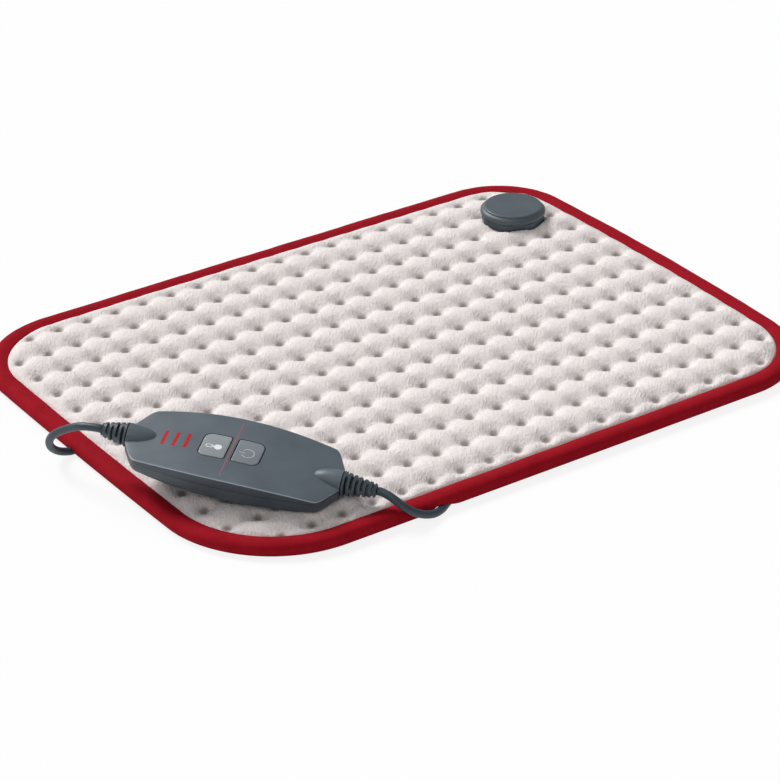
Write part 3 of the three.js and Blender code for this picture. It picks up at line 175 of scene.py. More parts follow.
# Camera
PICTURE_WIDTH = 780
PICTURE_HEIGHT = 781
FOCAL_PIXELS = 3151.8
SENSOR = 36
CLIP_NEAR = 0.05
CLIP_FAR = 50
CAMERA_PLACE = (-976.505, -1415.814, 925.219)
CAMERA_RIGHT = Vector((0.82157, -0.57005, -0.00731))
CAMERA_UP = Vector((0.27988, 0.39229, 0.87622))


def make_camera():
    data = bpy.data.cameras.new("camera")
    data.sensor_width = SENSOR
    data.lens = FOCAL_PIXELS * SENSOR / max(PICTURE_WIDTH, PICTURE_HEIGHT)
    data.clip_start = CLIP_NEAR
    data.clip_end = CLIP_FAR
    camera = bpy.data.objects.new("camera", data)
    bpy.context.scene.collection.objects.link(camera)
    right = CAMERA_RIGHT.normalized()
    up = (CAMERA_UP - right * CAMERA_UP.dot(right)).normalized()
    back = right.cross(up)
    turn = Matrix((right, up, back)).transposed().to_4x4()
    camera.matrix_world = Matrix.Translation(place(*CAMERA_PLACE)) @ turn
    bpy.context.scene.camera = camera


make_camera()

# Controller's own axes: u along it, v across it, w out of its top face
CONTROLLER_PLACE = Vector((-170.6, -89.4, 35.5652))
CONTROLLER_HEADING = Matrix.Rotation(math.radians(-48.3), 3, "Z")
CONTROLLER_PITCH = Matrix.Rotation(math.radians(7), 3, "Y")
CONTROLLER_ROLL = Matrix.Rotation(math.radians(7), 3, "X")
CONTROLLER_TURN = CONTROLLER_HEADING @ CONTROLLER_PITCH @ CONTROLLER_ROLL


def on_pad(points):
    """Points of the controller's axes, counted from the pad's centre."""
    return np.asarray(points, float) @ np.array(CONTROLLER_TURN).T + np.array(CONTROLLER_PLACE)


# Routes of the leads
PAD_LEAD_DROP = [
    (-230.0, -19.4, 38.2),
    (-232.3, -13.3, 35.6),
    (-234.2, -7.1, 32.1),
    (-236.0, -1.9, 28.6),
    (-237.5, 2.2, 25.2),
    (-238.1, 5.4, 21.6),
    (-237.7, 8.0, 17.9),
    (-236.4, 10.1, 14.3),
    (-234.4, 11.8, 11.0),
    (-231.6, 13.1, 8.0),
    (-227.9, 14.1, 5.3),
    (-223.6, 14.7, 3.4),
    (-219.6, 14.8, LEAD_FLOOR_Z),
]
MAINS_LEAD_DROP = [
    (-110.9, -157.5, 16.9),
    (-108.6, -161.5, 14.4),
    (-106.4, -164.2, 12.1),
    (-103.7, -166.1, 9.9),
    (-100.3, -167.5, 7.6),
    (-94.8, -168.4, 5.1),
    (-87.9, -167.9, 3.2),
    (-80.3, -165.0, LEAD_FLOOR_Z),
    (-71.8, -159.6, LEAD_FLOOR_Z),
]
PLUG_LEAD_DROP = [
    (266.5, -142.8, 8.1),
    (276.5, -142.6, 6.6),
    (285.3, -140.0, 5.9),
    (292.2, -133.6, 5.9),
]
LEAD_TURN = 4.5 * LEAD_DIAMETER
LEFT_RUN_X = -PAD_LENGTH / 2 + CHANNEL_INSET
FAR_RUN_Y = PAD_WIDTH / 2 - CHANNEL_INSET
NEAR_RUN_Y = -PAD_WIDTH / 2 + CHANNEL_INSET
FAR_LEFT_TURN = RADIUS_FAR_LEFT - CHANNEL_INSET
ARC_STEPS = 14
AIR_STEPS = 5
LEAST_STEP = 0.05


def smooth_run(points, after, steps):
    """Centripetal curve through points; the points after it only shape its end."""
    chain = [np.asarray(p, float) for p in [*points, *after]]
    chain = [2 * chain[0] - chain[1], *chain, 2 * chain[-1] - chain[-2]]
    samples = [chain[1]]
    for i in range(len(points) - 1):
        a, b, c, d = chain[i : i + 4]
        before, span, behind = (np.linalg.norm(q - p) ** 0.5 for p, q in ((a, b), (b, c), (c, d)))
        leave = ((b - a) / before - (c - a) / (before + span) + (c - b) / span) * span
        arrive = ((c - b) / span - (d - b) / (span + behind) + (d - c) / behind) * span
        for step in range(1, steps + 1):
            t = step / steps
            samples.append(
                (2 * t**3 - 3 * t**2 + 1) * b
                + (t**3 - 2 * t**2 + t) * leave
                + (3 * t**2 - 2 * t**3) * c
                + (t**3 - t**2) * arrive
            )
    return samples


def about(x, y, radius, angle):
    """A point at a distance and an angle from another."""
    return (x + radius * math.cos(angle), y + radius * math.sin(angle))


def floor_arc(x, y, radius, start, end):
    """Points of a level arc under the pad, its angles in degrees."""
    angles = [math.radians(start + (end - start) * step / ARC_STEPS) for step in range(ARC_STEPS + 1)]
    return [(*about(x, y, radius, angle), LEAD_FLOOR_Z) for angle in angles]


def relief_end(side, length):
    """Where a lead leaves its strain relief, and a point that gives its direction."""
    reach = HALF_LENGTH + 2 * MEET_GAP + length
    return list(on_pad([(side * (reach + further), 0, -GLAND_AXIS_DEPTH) for further in (0, LEAD_RADIUS)]))


def pad_lead_under():
    enter = PAD_LEAD_DROP[-1]
    return [
        enter,
        *floor_arc(LEFT_RUN_X - LEAD_TURN, enter[1] + LEAD_TURN, LEAD_TURN, -90, 0),
        *floor_arc(LEFT_RUN_X + FAR_LEFT_TURN, FAR_RUN_Y - FAR_LEFT_TURN, FAR_LEFT_TURN, 180, 90),
        *floor_arc(COUPLING_X - LEAD_TURN, FAR_RUN_Y - LEAD_TURN, LEAD_TURN, 90, 0),
        (COUPLING_X, GROMMET_FAR_Y + MEET_GAP, LEAD_FLOOR_Z),
    ]


def mains_lead_under():
    before, enter = MAINS_LEAD_DROP[-2:]
    heading = math.atan2(enter[1] - before[1], enter[0] - before[0])
    along = (NEAR_RUN_Y - LEAD_TURN * (1 - math.cos(heading)) - enter[1]) / math.sin(heading)
    centre_x = enter[0] + along * math.cos(heading) + LEAD_TURN * math.sin(heading)
    return [
        before,
        enter,
        *floor_arc(centre_x, NEAR_RUN_Y - LEAD_TURN, LEAD_TURN, 90 + math.degrees(heading), 90),
        (PAD_LENGTH / 4, NEAR_RUN_Y, LEAD_FLOOR_Z),
        (PAD_LENGTH / 2 - LEAD_DIAMETER, NEAR_RUN_Y, LEAD_FLOOR_Z),
    ]


def apart(points):
    """The points, without those that repeat the one before."""
    kept = [np.asarray(points[0], float)]
    for point in points[1:]:
        if np.linalg.norm(np.asarray(point) - kept[-1]) > LEAST_STEP:
            kept.append(np.asarray(point, float))
    return kept


def pad_lead_route():
    under = pad_lead_under()
    air = smooth_run([*relief_end(-1, PAD_RELIEF_LENGTH), *PAD_LEAD_DROP], under[2:4], AIR_STEPS)
    return apart([*air, *under])


COIL_OUTER = COIL_MEAN_RADIUS + COIL_TURNS_PER_LAYER * COIL_PITCH / 2
COIL_INNER = COIL_MEAN_RADIUS - COIL_TURNS_PER_LAYER * COIL_PITCH / 2
COIL_Y = NEAR_RUN_Y - COIL_OUTER
TIE_THICKNESS = 0.6
COIL_LOW_Z = LEAD_FLOOR_Z + TIE_THICKNESS + MEET_GAP
COIL_HIGH_Z = COIL_LOW_Z + COIL_PITCH
COIL_STEPS = 36
COIL_CLIMB_SHARE = 0.25


def coil_point(turn):
    """Turns spiral in on the lower layer and out on the upper one."""
    radius = COIL_INNER + COIL_PITCH * abs(turn - COIL_TURNS_PER_LAYER)
    start, end = (COIL_TURNS_PER_LAYER + way * COIL_CLIMB_SHARE for way in (-1, 1))
    height = COIL_LOW_Z + COIL_PITCH * smooth_step(turn, start, end)
    return (*about(COIL_X, COIL_Y, radius, math.pi / 2 - 2 * math.pi * turn), height)


def mains_lead_route():
    under = mains_lead_under()
    air = smooth_run([*relief_end(1, MAINS_RELIEF_LENGTH), *MAINS_LEAD_DROP[:-1]], under[1:3], AIR_STEPS)
    coil_start = COIL_X - LEAD_DIAMETER - MEET_GAP
    to_coil = [
        (PAD_LENGTH / 2 + LEAD_DIAMETER, NEAR_RUN_Y, LEAD_FLOOR_Z),
        (coil_start - LEAD_DIAMETER, NEAR_RUN_Y, COIL_LOW_Z),
    ]
    turns = COIL_TURNS_PER_LAYER * COIL_LAYERS
    coil = [coil_point(step / COIL_STEPS) for step in range(turns * COIL_STEPS + 1)]
    leave = COIL_X + LEAD_DIAMETER + MEET_GAP
    end = PLUG_RELIEF_Y - MEET_GAP
    to_plug = [
        (leave, NEAR_RUN_Y, COIL_HIGH_Z),
        (leave + LEAD_RADIUS, NEAR_RUN_Y, COIL_HIGH_Z),
        *PLUG_LEAD_DROP,
        (PLUG_X, end - LEAD_RADIUS, PLUG_AXIS_Z),
        (PLUG_X, end, PLUG_AXIS_Z),
    ]
    return apart([*air, *under[1:], *to_coil, *coil, *smooth_run(to_plug, [], AIR_STEPS)])


# Colours and material nodes
def linear(code, share=1.0):
    """A written colour as linear light; share scales it."""
    channels = [(code >> 16 & 255) / 255, (code >> 8 & 255) / 255, (code & 255) / 255]
    light = [c / 12.92 if c <= 0.04045 else ((c + 0.055) / 1.055) ** 2.4 for c in channels]
    return (*[min(c * share, 1) for c in light], 1)


WAVES_PER_SCALE = 20 / (2 * math.pi)


class Surface:
    """A procedural material: a Principled shader with helpers that add textures in object space."""

    def __init__(self, name, roughness=0.5):
        self.material = bpy.data.materials.new(name)
        self.material.use_nodes = True
        self.tree = self.material.node_tree
        self.tree.nodes.clear()
        self.shader = self.add("ShaderNodeBsdfPrincipled")
        self.output = self.add("ShaderNodeOutputMaterial")
        self.join(self.shader.outputs[0], self.output.inputs[0])
        self.where = self.add("ShaderNodeTexCoord").outputs["Object"]
        self.bumps = None
        self.shader.inputs["Roughness"].default_value = roughness

    def add(self, kind, **settings):
        node = self.tree.nodes.new(kind)
        for key, value in settings.items():
            setattr(node, key, value)
        return node

    def join(self, source, target):
        self.tree.links.new(source, target)

    def feed(self, socket, value):
        """Gives a socket a number or a colour, or joins another socket to it."""
        if isinstance(value, (int, float, tuple)):
            socket.default_value = value
        else:
            self.join(value, socket)

    def stretched(self, scale, turn=0.0):
        """Object coordinates, turned about z and then scaled on each axis."""
        node = self.add("ShaderNodeMapping", vector_type="TEXTURE")
        node.inputs["Rotation"].default_value = (0, 0, turn)
        node.inputs["Scale"].default_value = [1 / s for s in scale]
        self.join(self.where, node.inputs["Vector"])
        return node.outputs[0]

    def cloud(self, size, detail=3.0, roughness=0.55, scale=None, turn=0.0):
        """Noise whose blobs are about size millimetres."""
        node = self.add("ShaderNodeTexNoise")
        node.inputs["Scale"].default_value = 1 / (size * MM)
        node.inputs["Detail"].default_value = detail
        node.inputs["Roughness"].default_value = roughness
        self.join(self.stretched(scale, turn) if scale else self.where, node.inputs["Vector"])
        return node.outputs[0]

    def cells(self, size, feature="F1"):
        node = self.add("ShaderNodeTexVoronoi", feature=feature)
        node.inputs["Scale"].default_value = 1 / (size * MM)
        self.join(self.where, node.inputs["Vector"])
        return node.outputs["Distance"]

    def waves(self, size, direction, scale=None, distortion=0.0):
        node = self.add("ShaderNodeTexWave", bands_direction=direction)
        node.inputs["Scale"].default_value = 1 / (size * MM) / WAVES_PER_SCALE
        node.inputs["Distortion"].default_value = distortion
        node.inputs["Detail"].default_value = 0
        self.join(self.stretched(scale) if scale else self.where, node.inputs["Vector"])
        return node.outputs[1]

    def attribute(self, name):
        return self.add("ShaderNodeAttribute", attribute_name=name).outputs["Fac"]

    def joined(self, a, b, operation):
        """Two numbers or sockets, put together by an operation."""
        node = self.add("ShaderNodeMath", operation=operation)
        self.feed(node.inputs[0], a)
        self.feed(node.inputs[1], b)
        return node.outputs[0]

    def between(self, value, low, high, to_low, to_high):
        node = self.add("ShaderNodeMapRange")
        for socket, given in zip(node.inputs, (value, low, high, to_low, to_high)):
            self.feed(socket, given)
        return node.outputs[0]

    def mixed(self, share, first, second):
        """A colour between two; each is a linear colour or a socket."""
        node = self.add("ShaderNodeMix", data_type="RGBA")
        for socket, given in zip((node.inputs["Factor"], *node.inputs[6:8]), (share, first, second)):
            self.feed(socket, given)
        return node.outputs[2]

    def toned(self, source, dark, light, low=0.3, high=0.7):
        """A colour that a texture takes from a dark one to a light one."""
        return self.mixed(self.between(source, low, high, 0, 1), linear(dark), linear(light))

    def over(self, under, source, spread, colour):
        """A colour with another over it, as much as a texture asks for."""
        return self.mixed(self.between(source, *spread), under, colour)

    def colour(self, value):
        self.join(value, self.shader.inputs["Base Color"])
        return self

    def rough(self, source, low, high):
        self.join(self.between(source, 0.3, 0.7, low, high), self.shader.inputs["Roughness"])
        return self

    def bump(self, source, depth, strength=1.0):
        """Adds relief; depth is in millimetres."""
        node = self.add("ShaderNodeBump")
        node.inputs["Strength"].default_value = strength
        node.inputs["Distance"].default_value = depth * MM
        self.join(source, node.inputs["Height"])
        if self.bumps:
            self.join(self.bumps, node.inputs["Normal"])
        self.bumps = node.outputs[0]
        self.join(self.bumps, self.shader.inputs["Normal"])
        return self

    def set(self, **values):
        for key, value in values.items():
            self.shader.inputs[key.replace("_", " ")].default_value = value
        return self


NAP_TURN = math.radians(-35)


def fleece_material(name):
    """Short brushed pile: soft tufts, fine fibres that lie along the nap, and painted shade in the welds'
    pits.
    """
    surface = Surface(name, 0.95)
    pile = surface.cloud(1.8, 4, 0.7)
    tufts = surface.cloud(4.6, 3, 0.6)
    fibres = surface.cloud(1.15, 3, 0.6, (1, 0.25, 1), NAP_TURN)
    light = surface.toned(pile, 0xEFE6E3, 0xFBF5F3, 0.35, 0.68)
    soft = surface.over(light, tufts, (0.35, 0.7, 0.12, 0), linear(0xE2D8D5))
    brushed = surface.over(soft, fibres, (0.4, 0.6, 0.22, 0), linear(0xCFC4C1))
    # Painted shade in the weld pits
    painted_pit_shade = surface.mixed(surface.attribute("pit"), brushed, linear(0x7F7470))
    surface.colour(painted_pit_shade).rough(pile, 0.9, 1.0)
    surface.bump(tufts, 0.6, 0.7).bump(pile, 0.7, 0.9).bump(fibres, 0.8, 1.0)
    surface.set(Sheen_Weight=0.1, Sheen_Roughness=0.6, Specular_IOR_Level=0.1)
    return surface.material


def woven_material(name, dark, light, thread=0.42, depth=0.06, sheen=0.15, gloss=0.25):
    """Plain woven or knitted cloth."""
    surface = Surface(name, 0.85)
    warp = surface.waves(thread, "DIAGONAL")
    weft = surface.waves(thread, "DIAGONAL", (-1, 1, 1))
    weave = surface.joined(warp, weft, "MULTIPLY")
    wear = surface.cloud(14, 3, 0.6)
    slub = surface.cloud(1.6, 4, 0.7)
    tone = surface.toned(wear, dark, light)
    tone = surface.over(tone, slub, (0.35, 0.75, 0, 0.3), linear(dark, 0.85))
    surface.colour(surface.over(tone, weave, (0, 1, 0.25, 0), linear(dark, 0.6)))
    surface.rough(slub, 0.78, 0.92)
    surface.bump(slub, 0.12, 0.6).bump(weave, depth, 0.8)
    surface.set(Sheen_Weight=sheen, Sheen_Roughness=0.5, Specular_IOR_Level=gloss)
    return surface.material


def moulded_material(name, dark, light, low=0.4, high=0.52, grain=0.35, depth=0.02, marks=()):
    """Moulded plastic with a fine spark-eroded grain; marks are (attribute, colour) pairs of painted light,
    a painted highlight or painted shade.
    """
    surface = Surface(name, (low + high) / 2)
    fine = surface.cloud(grain, 3, 0.6)
    flow = surface.cloud(22, 2, 0.5)
    scuffs = surface.cloud(6, 5, 0.7)
    tone = surface.toned(flow, dark, light)
    tone = surface.over(tone, fine, (0.4, 0.8, 0, 0.18), linear(light, 1.25))
    for mark, colour in marks:
        tone = surface.mixed(surface.attribute(mark), tone, linear(colour))
    surface.colour(tone)
    surface.rough(scuffs, low, high)
    surface.bump(fine, depth, 0.7)
    return surface.material


def metal_material(name, dark, light, along=(1, 1, 1), roughness=(0.22, 0.36)):
    """Drawn metal with fine marks along its length."""
    surface = Surface(name, 0.3)
    marks = surface.cloud(0.6, 3, 0.6, along)
    stain = surface.cloud(5, 3, 0.6)
    surface.colour(surface.toned(stain, dark, light))
    surface.rough(marks, *roughness)
    surface.bump(marks, 0.01, 0.5)
    surface.set(Metallic=1.0)
    return surface.material


def light_bar_material(name):
    surface = Surface(name, 0.25)
    inside = surface.cloud(2.2, 2, 0.5)
    surface.colour(surface.toned(inside, 0xBE0212, 0xCA061A))
    surface.rough(inside, 0.4, 0.5)
    surface.bump(inside, 0.004, 0.3)
    surface.set(Specular_IOR_Level=0.25)
    return surface.material


def board_material(name):
    surface = Surface(name, 0.45)
    tracks = surface.cells(2.4, "DISTANCE_TO_EDGE")
    cloudy = surface.cloud(8, 3, 0.5)
    tone = surface.toned(cloudy, 0x1F5A3A, 0x2F6B45)
    surface.colour(surface.over(tone, tracks, (0.0004, 0.0002, 0, 0.5), linear(0x5C9A6E)))
    surface.rough(cloudy, 0.35, 0.5)
    surface.bump(tracks, 0.03, 0.4)
    return surface.material


def wadding_material(name, dark, light):
    surface = Surface(name, 0.95)
    fibres = surface.cloud(0.8, 5, 0.75, (1, 1, 3))
    clumps = surface.cloud(9, 3, 0.6)
    tone = surface.toned(clumps, dark, light)
    surface.colour(surface.over(tone, fibres, (0.4, 0.7, 0, 0.35), linear(dark, 0.8)))
    surface.rough(clumps, 0.88, 1.0)
    surface.bump(fibres, 0.2, 0.7)
    return surface.material


def print_material(name, colour):
    surface = Surface(name, 0.5)
    ink = surface.cloud(0.5, 3, 0.6)
    surface.colour(surface.mixed(surface.between(ink, 0.35, 0.7, 0, 1), linear(colour, 0.9), linear(colour)))
    surface.rough(ink, 0.42, 0.55)
    surface.bump(ink, 0.01, 0.4)
    return surface.material


# Each recipe's materials: mostly a dark and a light colour, then what differs from the recipe
RECIPES = {
    fleece_material: {"fleece": ()},
    wadding_material: {"wadding": (0xE4E1DC, 0xF4F2EE)},
    light_bar_material: {"light_bar": ()},
    board_material: {"board": ()},
    woven_material: {
        "lining": (0xCFC7C3, 0xE2DBD7, 0.5, 0.08),
        "carrier": (0xD6C7AE, 0xE7DCC8, 0.6, 0.08),
        "binding": (0x980E1D, 0xA81425, 0.42, 0.035, 0.0, 0.08),
        "strap": (0x1A1D20, 0x2A2E32, 0.7, 0.1),
    },
    moulded_material: {
        "coupling_plastic": (0x465158, 0x515C64, 0.42, 0.54),
        "rubber": (0x303C47, 0x384650, 0.42, 0.55, 0.3, 0.015),
        "relief": (0x3A454D, 0x434F57, 0.42, 0.55, 0.3, 0.015),
        # The housing plastic, with a painted highlight along the top bevel and painted shade on the sides
        # below it
        "housing": (0x515B63, 0x5D6770, 0.4, 0.5, 0.35, 0.02, (("side", 0x39444C), ("edge", 0xB6C6CE))),
        # The lower shell: the housing plastic darkened, painted shade like the upper shell's painted sides
        "housing_lower": (0x38434B, 0x414C54, 0.42, 0.52),
        "button": (0x868D91, 0x959B9F, 0.38, 0.48),
        "button_dark": (0x747B81, 0x81888D, 0.38, 0.48),
        "dark_plastic": (0x1B1F22, 0x272C30, 0.4, 0.5),
        "film_capacitor": (0xC09631, 0xD2AC4C, 0.3, 0.4),
    },
    metal_material: {
        "heating_cable": (0xA3622F, 0xC58250, (1, 1, 4)),
        "brass": (0xA07F3E, 0xC09C56),
        "steel": (0xA9ACAF, 0xC4C7CA, (1, 4, 4)),
        "fuse_glass": (0xB8BDC2, 0xD3D7DA),
    },
    print_material: {
        "led": (0xF2EFE6,),
        "accent": (0xA05A67,),
        "print_white": (0xF4F6F6,),
        "print_pale": (0xC6CCCF,),
    },
}
MATERIALS = {
    name: recipe(name, *values)
    for recipe, kinds in RECIPES.items()
    for name, values in kinds.items()
}

# The nodes that wear each material, by the start of their names
WEARERS = {
    "fleece": ["top_cover"],
    "wadding": ["upper_wadding", "lower_wadding"],
    "carrier": ["heater_carrier"],
    "heating_cable": ["heating_wire"],
    "lining": ["bottom_cover"],
    "binding": ["edge_binding"],
    "coupling_plastic": ["coupling_base", "coupling_cap", "coupling_back_plate"],
    "brass": ["coupling_terminal"],
    "steel": ["thermal_cutout", "case_screw", "plug_pin"],
    "housing": ["controller_top_shell"],
    "housing_lower": ["controller_bottom_shell"],
    "button": ["heat_button"],
    "button_dark": ["power_button"],
    "light_bar": ["light_bar"],
    "led": ["led"],
    "accent": ["accent_line"],
    "board": ["circuit_board"],
    "film_capacitor": ["film_capacitor"],
    "fuse_glass": ["fuse"],
    "dark_plastic": [
        *("heat_plunger", "heat_switch", "power_plunger", "power_switch"),
        *("triac", "control_chip", "coil_tie", "plug_body"),
    ],
}
NODE_MATERIALS = {node: material for material, nodes in WEARERS.items() for node in nodes}


def material_of(node):
    """By the longest listed name that starts the node's; leads, reliefs and the grommet are rubber."""
    fitting = [name for name in NODE_MATERIALS if node.startswith(name)]
    return MATERIALS[NODE_MATERIALS[max(fitting, key=len)] if fitting else "rubber"]


def dress_nodes():
    for name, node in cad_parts.items():
        for slot in node.material_slots:
            slot.material = material_of(name)


dress_nodes()


# Mesh helpers
SHARP_ANGLE = math.radians(38)
NO_CREASE = math.pi
ROUND_SIDES = 32


def settle(piece, body):
    """Puts a piece on its body."""
    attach(piece, body)


def new_mesh(name, points, faces):
    mesh = bpy.data.meshes.new(name)
    mesh.from_pydata(np.asarray(points, float).tolist(), [], [list(map(int, face)) for face in faces])
    return mesh


def new_object(name, data):
    made = bpy.data.objects.new(name, data)
    bpy.context.scene.collection.objects.link(made)
    return made


def add_mesh(name, points, faces, material, body="pad"):
    """A piece from points in millimetres counted from the pad's centre."""
    mesh = new_mesh(name, metres(points), faces)
    mesh.materials.append(MATERIALS[material])
    mesh.validate()
    mesh.shade_smooth()
    piece = new_object(name, mesh)
    settle(piece, body)
    return piece


def mark(mesh, name, values):
    """Writes a number at each point of a mesh, for a material to read."""
    attribute = mesh.attributes.new(name, "FLOAT", "POINT")
    attribute.data.foreach_set("value", np.array(values, np.float32))


def grid_faces(rows, columns, closed_rows=False, closed_columns=False):
    faces = []
    for j in range(rows if closed_rows else rows - 1):
        for i in range(columns if closed_columns else columns - 1):
            a = j * columns + i
            b = j * columns + (i + 1) % columns
            c = (j + 1) % rows * columns + (i + 1) % columns
            d = (j + 1) % rows * columns + i
            faces.append((a, b, c, d))
    return faces


def full_turn(sides):
    """Angles all the way round."""
    return np.linspace(0, 2 * math.pi, sides, endpoint=False)


def loft(rings, closed_run=False):
    """Points and faces of a skin over rings of equal count, with flat ends unless the run is closed."""
    rings = np.asarray(rings, float)
    rows, columns = rings.shape[:2]
    faces = grid_faces(rows, columns, closed_rows=closed_run, closed_columns=True)
    if not closed_run:
        faces.append(list(range(columns))[::-1])
        faces.append([(rows - 1) * columns + k for k in range(columns)])
    return rings.reshape(-1, 3), faces


def sweep_tube(route, radius, sides):
    """Points and faces of a round tube along a route, with flat ends."""
    route = np.asarray(route, float)
    along = np.concatenate([route[1:], route[-1:]]) - np.concatenate([route[:1], route[:-1]])
    along /= np.linalg.norm(along, axis=1)[:, None]
    side = np.cross(along, (0, 0, 1.0))
    side /= np.linalg.norm(side, axis=1)[:, None]
    lift = np.cross(side, along)
    across, up = (radius * turn(full_turn(sides))[None, :, None] for turn in (np.cos, np.sin))
    points, faces = loft(route[:, None] + across * side[:, None] + up * lift[:, None])
    return points, [face[::-1] for face in faces]


def quarter_turns(corners, steps):
    """Arcs round corners given as (x, y, radius), counter-clockwise, one quarter turn at each."""
    arcs = []
    for corner, (x, y, radius) in enumerate(corners):
        angles = [math.pi / 2 * (corner + step / steps) for step in range(steps + 1)]
        arcs.append([about(x, y, radius, angle) for angle in angles])
    return arcs


def smooth_step(value, low, high):
    t = np.clip((value - low) / (high - low), 0, 1)
    return t * t * (3 - 2 * t)


def rounded_plan(reach_x, reach_y, radii, pitch, edge_steps=()):
    """A grid over a rectangle with round corners, in rings near its rim, and each point's depth."""
    edge = np.cumsum([0.0, *edge_steps])

    def places(reach):
        inner = reach - edge[-1]
        count = int(round(2 * inner / pitch))
        middle = np.linspace(-inner, inner, count + 1)
        return np.concatenate([-reach + edge[:-1], middle, (reach - edge[:-1])[::-1]])

    x, y = np.meshgrid(places(reach_x), places(reach_y))
    depth = np.minimum(reach_x - abs(x), reach_y - abs(y))
    for (sign_x, sign_y), radius in zip(((1, 1), (-1, 1), (-1, -1), (1, -1)), radii):
        p = sign_x * x - (reach_x - radius)
        q = sign_y * y - (reach_y - radius)
        inside = (p > 0) & (q > 0)
        ring = np.maximum(p, q)
        share = np.divide(np.minimum(p, q), ring, out=np.zeros_like(ring), where=ring > 0)
        angle = math.pi / 4 * share
        angle = np.where(p >= q, angle, math.pi / 2 - angle)
        x = np.where(inside, sign_x * (reach_x - radius + ring * np.cos(angle)), x)
        y = np.where(inside, sign_y * (reach_y - radius + ring * np.sin(angle)), y)
        depth = np.where(inside, radius - ring, depth)
    return x, y, depth


# Working solids, in millimetres from the pad's centre or in the controller's own axes
PAD_FRAME = Matrix.Translation(place(0, 0, 0)) @ Matrix.Scale(MM, 4)
CONTROLLER_FRAME = PAD_FRAME @ Matrix.Translation(CONTROLLER_PLACE) @ CONTROLLER_TURN.to_4x4()


def crisp(mesh, limit=SHARP_ANGLE):
    """Turns the faces outward and shades them smooth, with creases where two meet at over the limit."""
    work = bmesh.new()
    work.from_mesh(mesh)
    bmesh.ops.recalc_face_normals(work, faces=work.faces)
    for face in work.faces:
        face.smooth = True
    for edge in work.edges:
        edge.smooth = not (len(edge.link_faces) == 2 and edge.calc_face_angle() > limit)
    work.to_mesh(mesh)
    work.free()


def form(points, faces):
    """A working solid; it leaves the scene before the end."""
    mesh = new_mesh("form", points, faces)
    crisp(mesh)
    return new_object("form", mesh)


def skin(rings, closed_run=False):
    """A working solid over rings of points."""
    return form(*loft(rings, closed_run))


def combine(solid, operation, tools):
    """Joins, cuts or intersects a working solid with others, which are used up."""
    for tool in tools:
        step = solid.modifiers.new("combine", "BOOLEAN")
        step.operation = operation
        step.solver = "MANIFOLD"
        step.object = tool
    bpy.context.view_layer.update()
    shaped = solid.evaluated_get(bpy.context.evaluated_depsgraph_get())
    mesh = bpy.data.meshes.new_from_object(shaped)
    solid.modifiers.clear()
    solid.data = mesh
    for tool in tools:
        bpy.data.objects.remove(tool)
    return solid


def prism(outline, low, high):
    """A working solid over an outline, from one height to another."""
    return skin([[(x, y, height) for x, y in outline] for height in (low, high)])


def slab(length, width, low, high, x=0, y=0):
    return prism([(x + a * length / 2, y + b * width / 2) for a, b in SQUARE], low, high)


def drum(radius, low, high, x=0, y=0):
    return prism([about(x, y, radius, angle) for angle in full_turn(ROUND_SIDES)], low, high)


def hoop(along, radius, sides, drop=0):
    """A ring across the first axis, at a depth below it."""
    return [(along, *about(0, -drop, radius, angle)) for angle in full_turn(sides)]


def dressed(solid, name, material, replaced, transform=CONTROLLER_FRAME, body="pad"):
    """Turns a working solid into a piece of the object."""
    solid.data.transform(transform)
    crisp(solid.data)
    solid.name = name
    solid.data.name = name
    solid.data.materials.clear()
    solid.data.materials.append(MATERIALS[material])
    solid.data.polygons.foreach_set("material_index", [0] * len(solid.data.polygons))
    settle(solid, body)
    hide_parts(*replaced)
    return solid


def bend(start, control, end, steps):
    """Points of a quadratic curve, without its first."""
    spread = [step / steps for step in range(1, steps + 1)]
    return [
        tuple((1 - t) ** 2 * a + 2 * t * (1 - t) * b + t * t * c for a, b, c in zip(start, control, end))
        for t in spread
    ]


# Controller housing
SHOULDER_BLEND = 5
BEVEL_STEPS = 5
BELLY_STEPS = 9
BELLY_CORNER = 0.4
STATION_STEP = 2
END_STEP = 0.55
END_ROUND = 0.5
INNER_END = HALF_SHOULDER - HOUSING_WALL
SLAB_REACH = 150
DOME_STEPS = 20
DOME_SIDES = 48
DOME_POWER = 2.3
DOME_TIP_SHARE = 0.04
# Where the painted highlight lies across and down the bevel, and how fast it fades
EDGE_HIGHLIGHT_PLACE = (0.2, 0.3)
EDGE_HIGHLIGHT_SPREAD = 0.03


def housing_top(u):
    return -TOP_ARCH * (u / HALF_LENGTH) ** 2


def housing_half_width(u):
    reach = abs(u)
    shoulder = PAD_SHOULDER_WIDTH if u < 0 else MAINS_SHOULDER_WIDTH
    middle = (HOUSING_WIDTH - (HOUSING_WIDTH - shoulder) * (reach / HALF_SHOULDER) ** 2) / 2
    share = (reach - HALF_SHOULDER) / (HALF_LENGTH - HALF_SHOULDER)
    end = (shoulder + (HOUSING_END_WIDTH - shoulder) * share) / 2
    overlap = max(SHOULDER_BLEND - abs(middle - end), 0)
    return min(middle, end) - overlap**2 / (4 * SHOULDER_BLEND)


def housing_section(u, wall=0, inset=0):
    """Ring of the housing at a place along it."""
    half = housing_half_width(u) - wall
    share = (half + wall) / (HOUSING_WIDTH / 2)
    half -= inset
    top = housing_top(u) - wall - inset
    belly = -HOUSING_THICKNESS + BELLY_RISE * (u / HALF_LENGTH) ** 2 + wall + inset
    fall = min(abs(u) / HALF_SHOULDER, 1) ** 2
    side = max(housing_top(u) - SIDE_DEPTH + (SIDE_DEPTH - SIDE_END_DEPTH) * fall, belly + BEVEL_DROP)
    low = half - SIDE_DRAFT * share
    edge = (half - BEVEL_WIDTH * share, top)
    ring = [edge, *bend(edge, (half, top), (half, top - BEVEL_DROP), BEVEL_STEPS), (low, side)]
    ring += bend((low, side), (low - BELLY_CORNER, belly), (half - BELLY_INSET * share, belly), BELLY_STEPS)
    ring += [(-v, w) for v, w in reversed(ring)]
    return [(u, v, w) for v, w in ring]


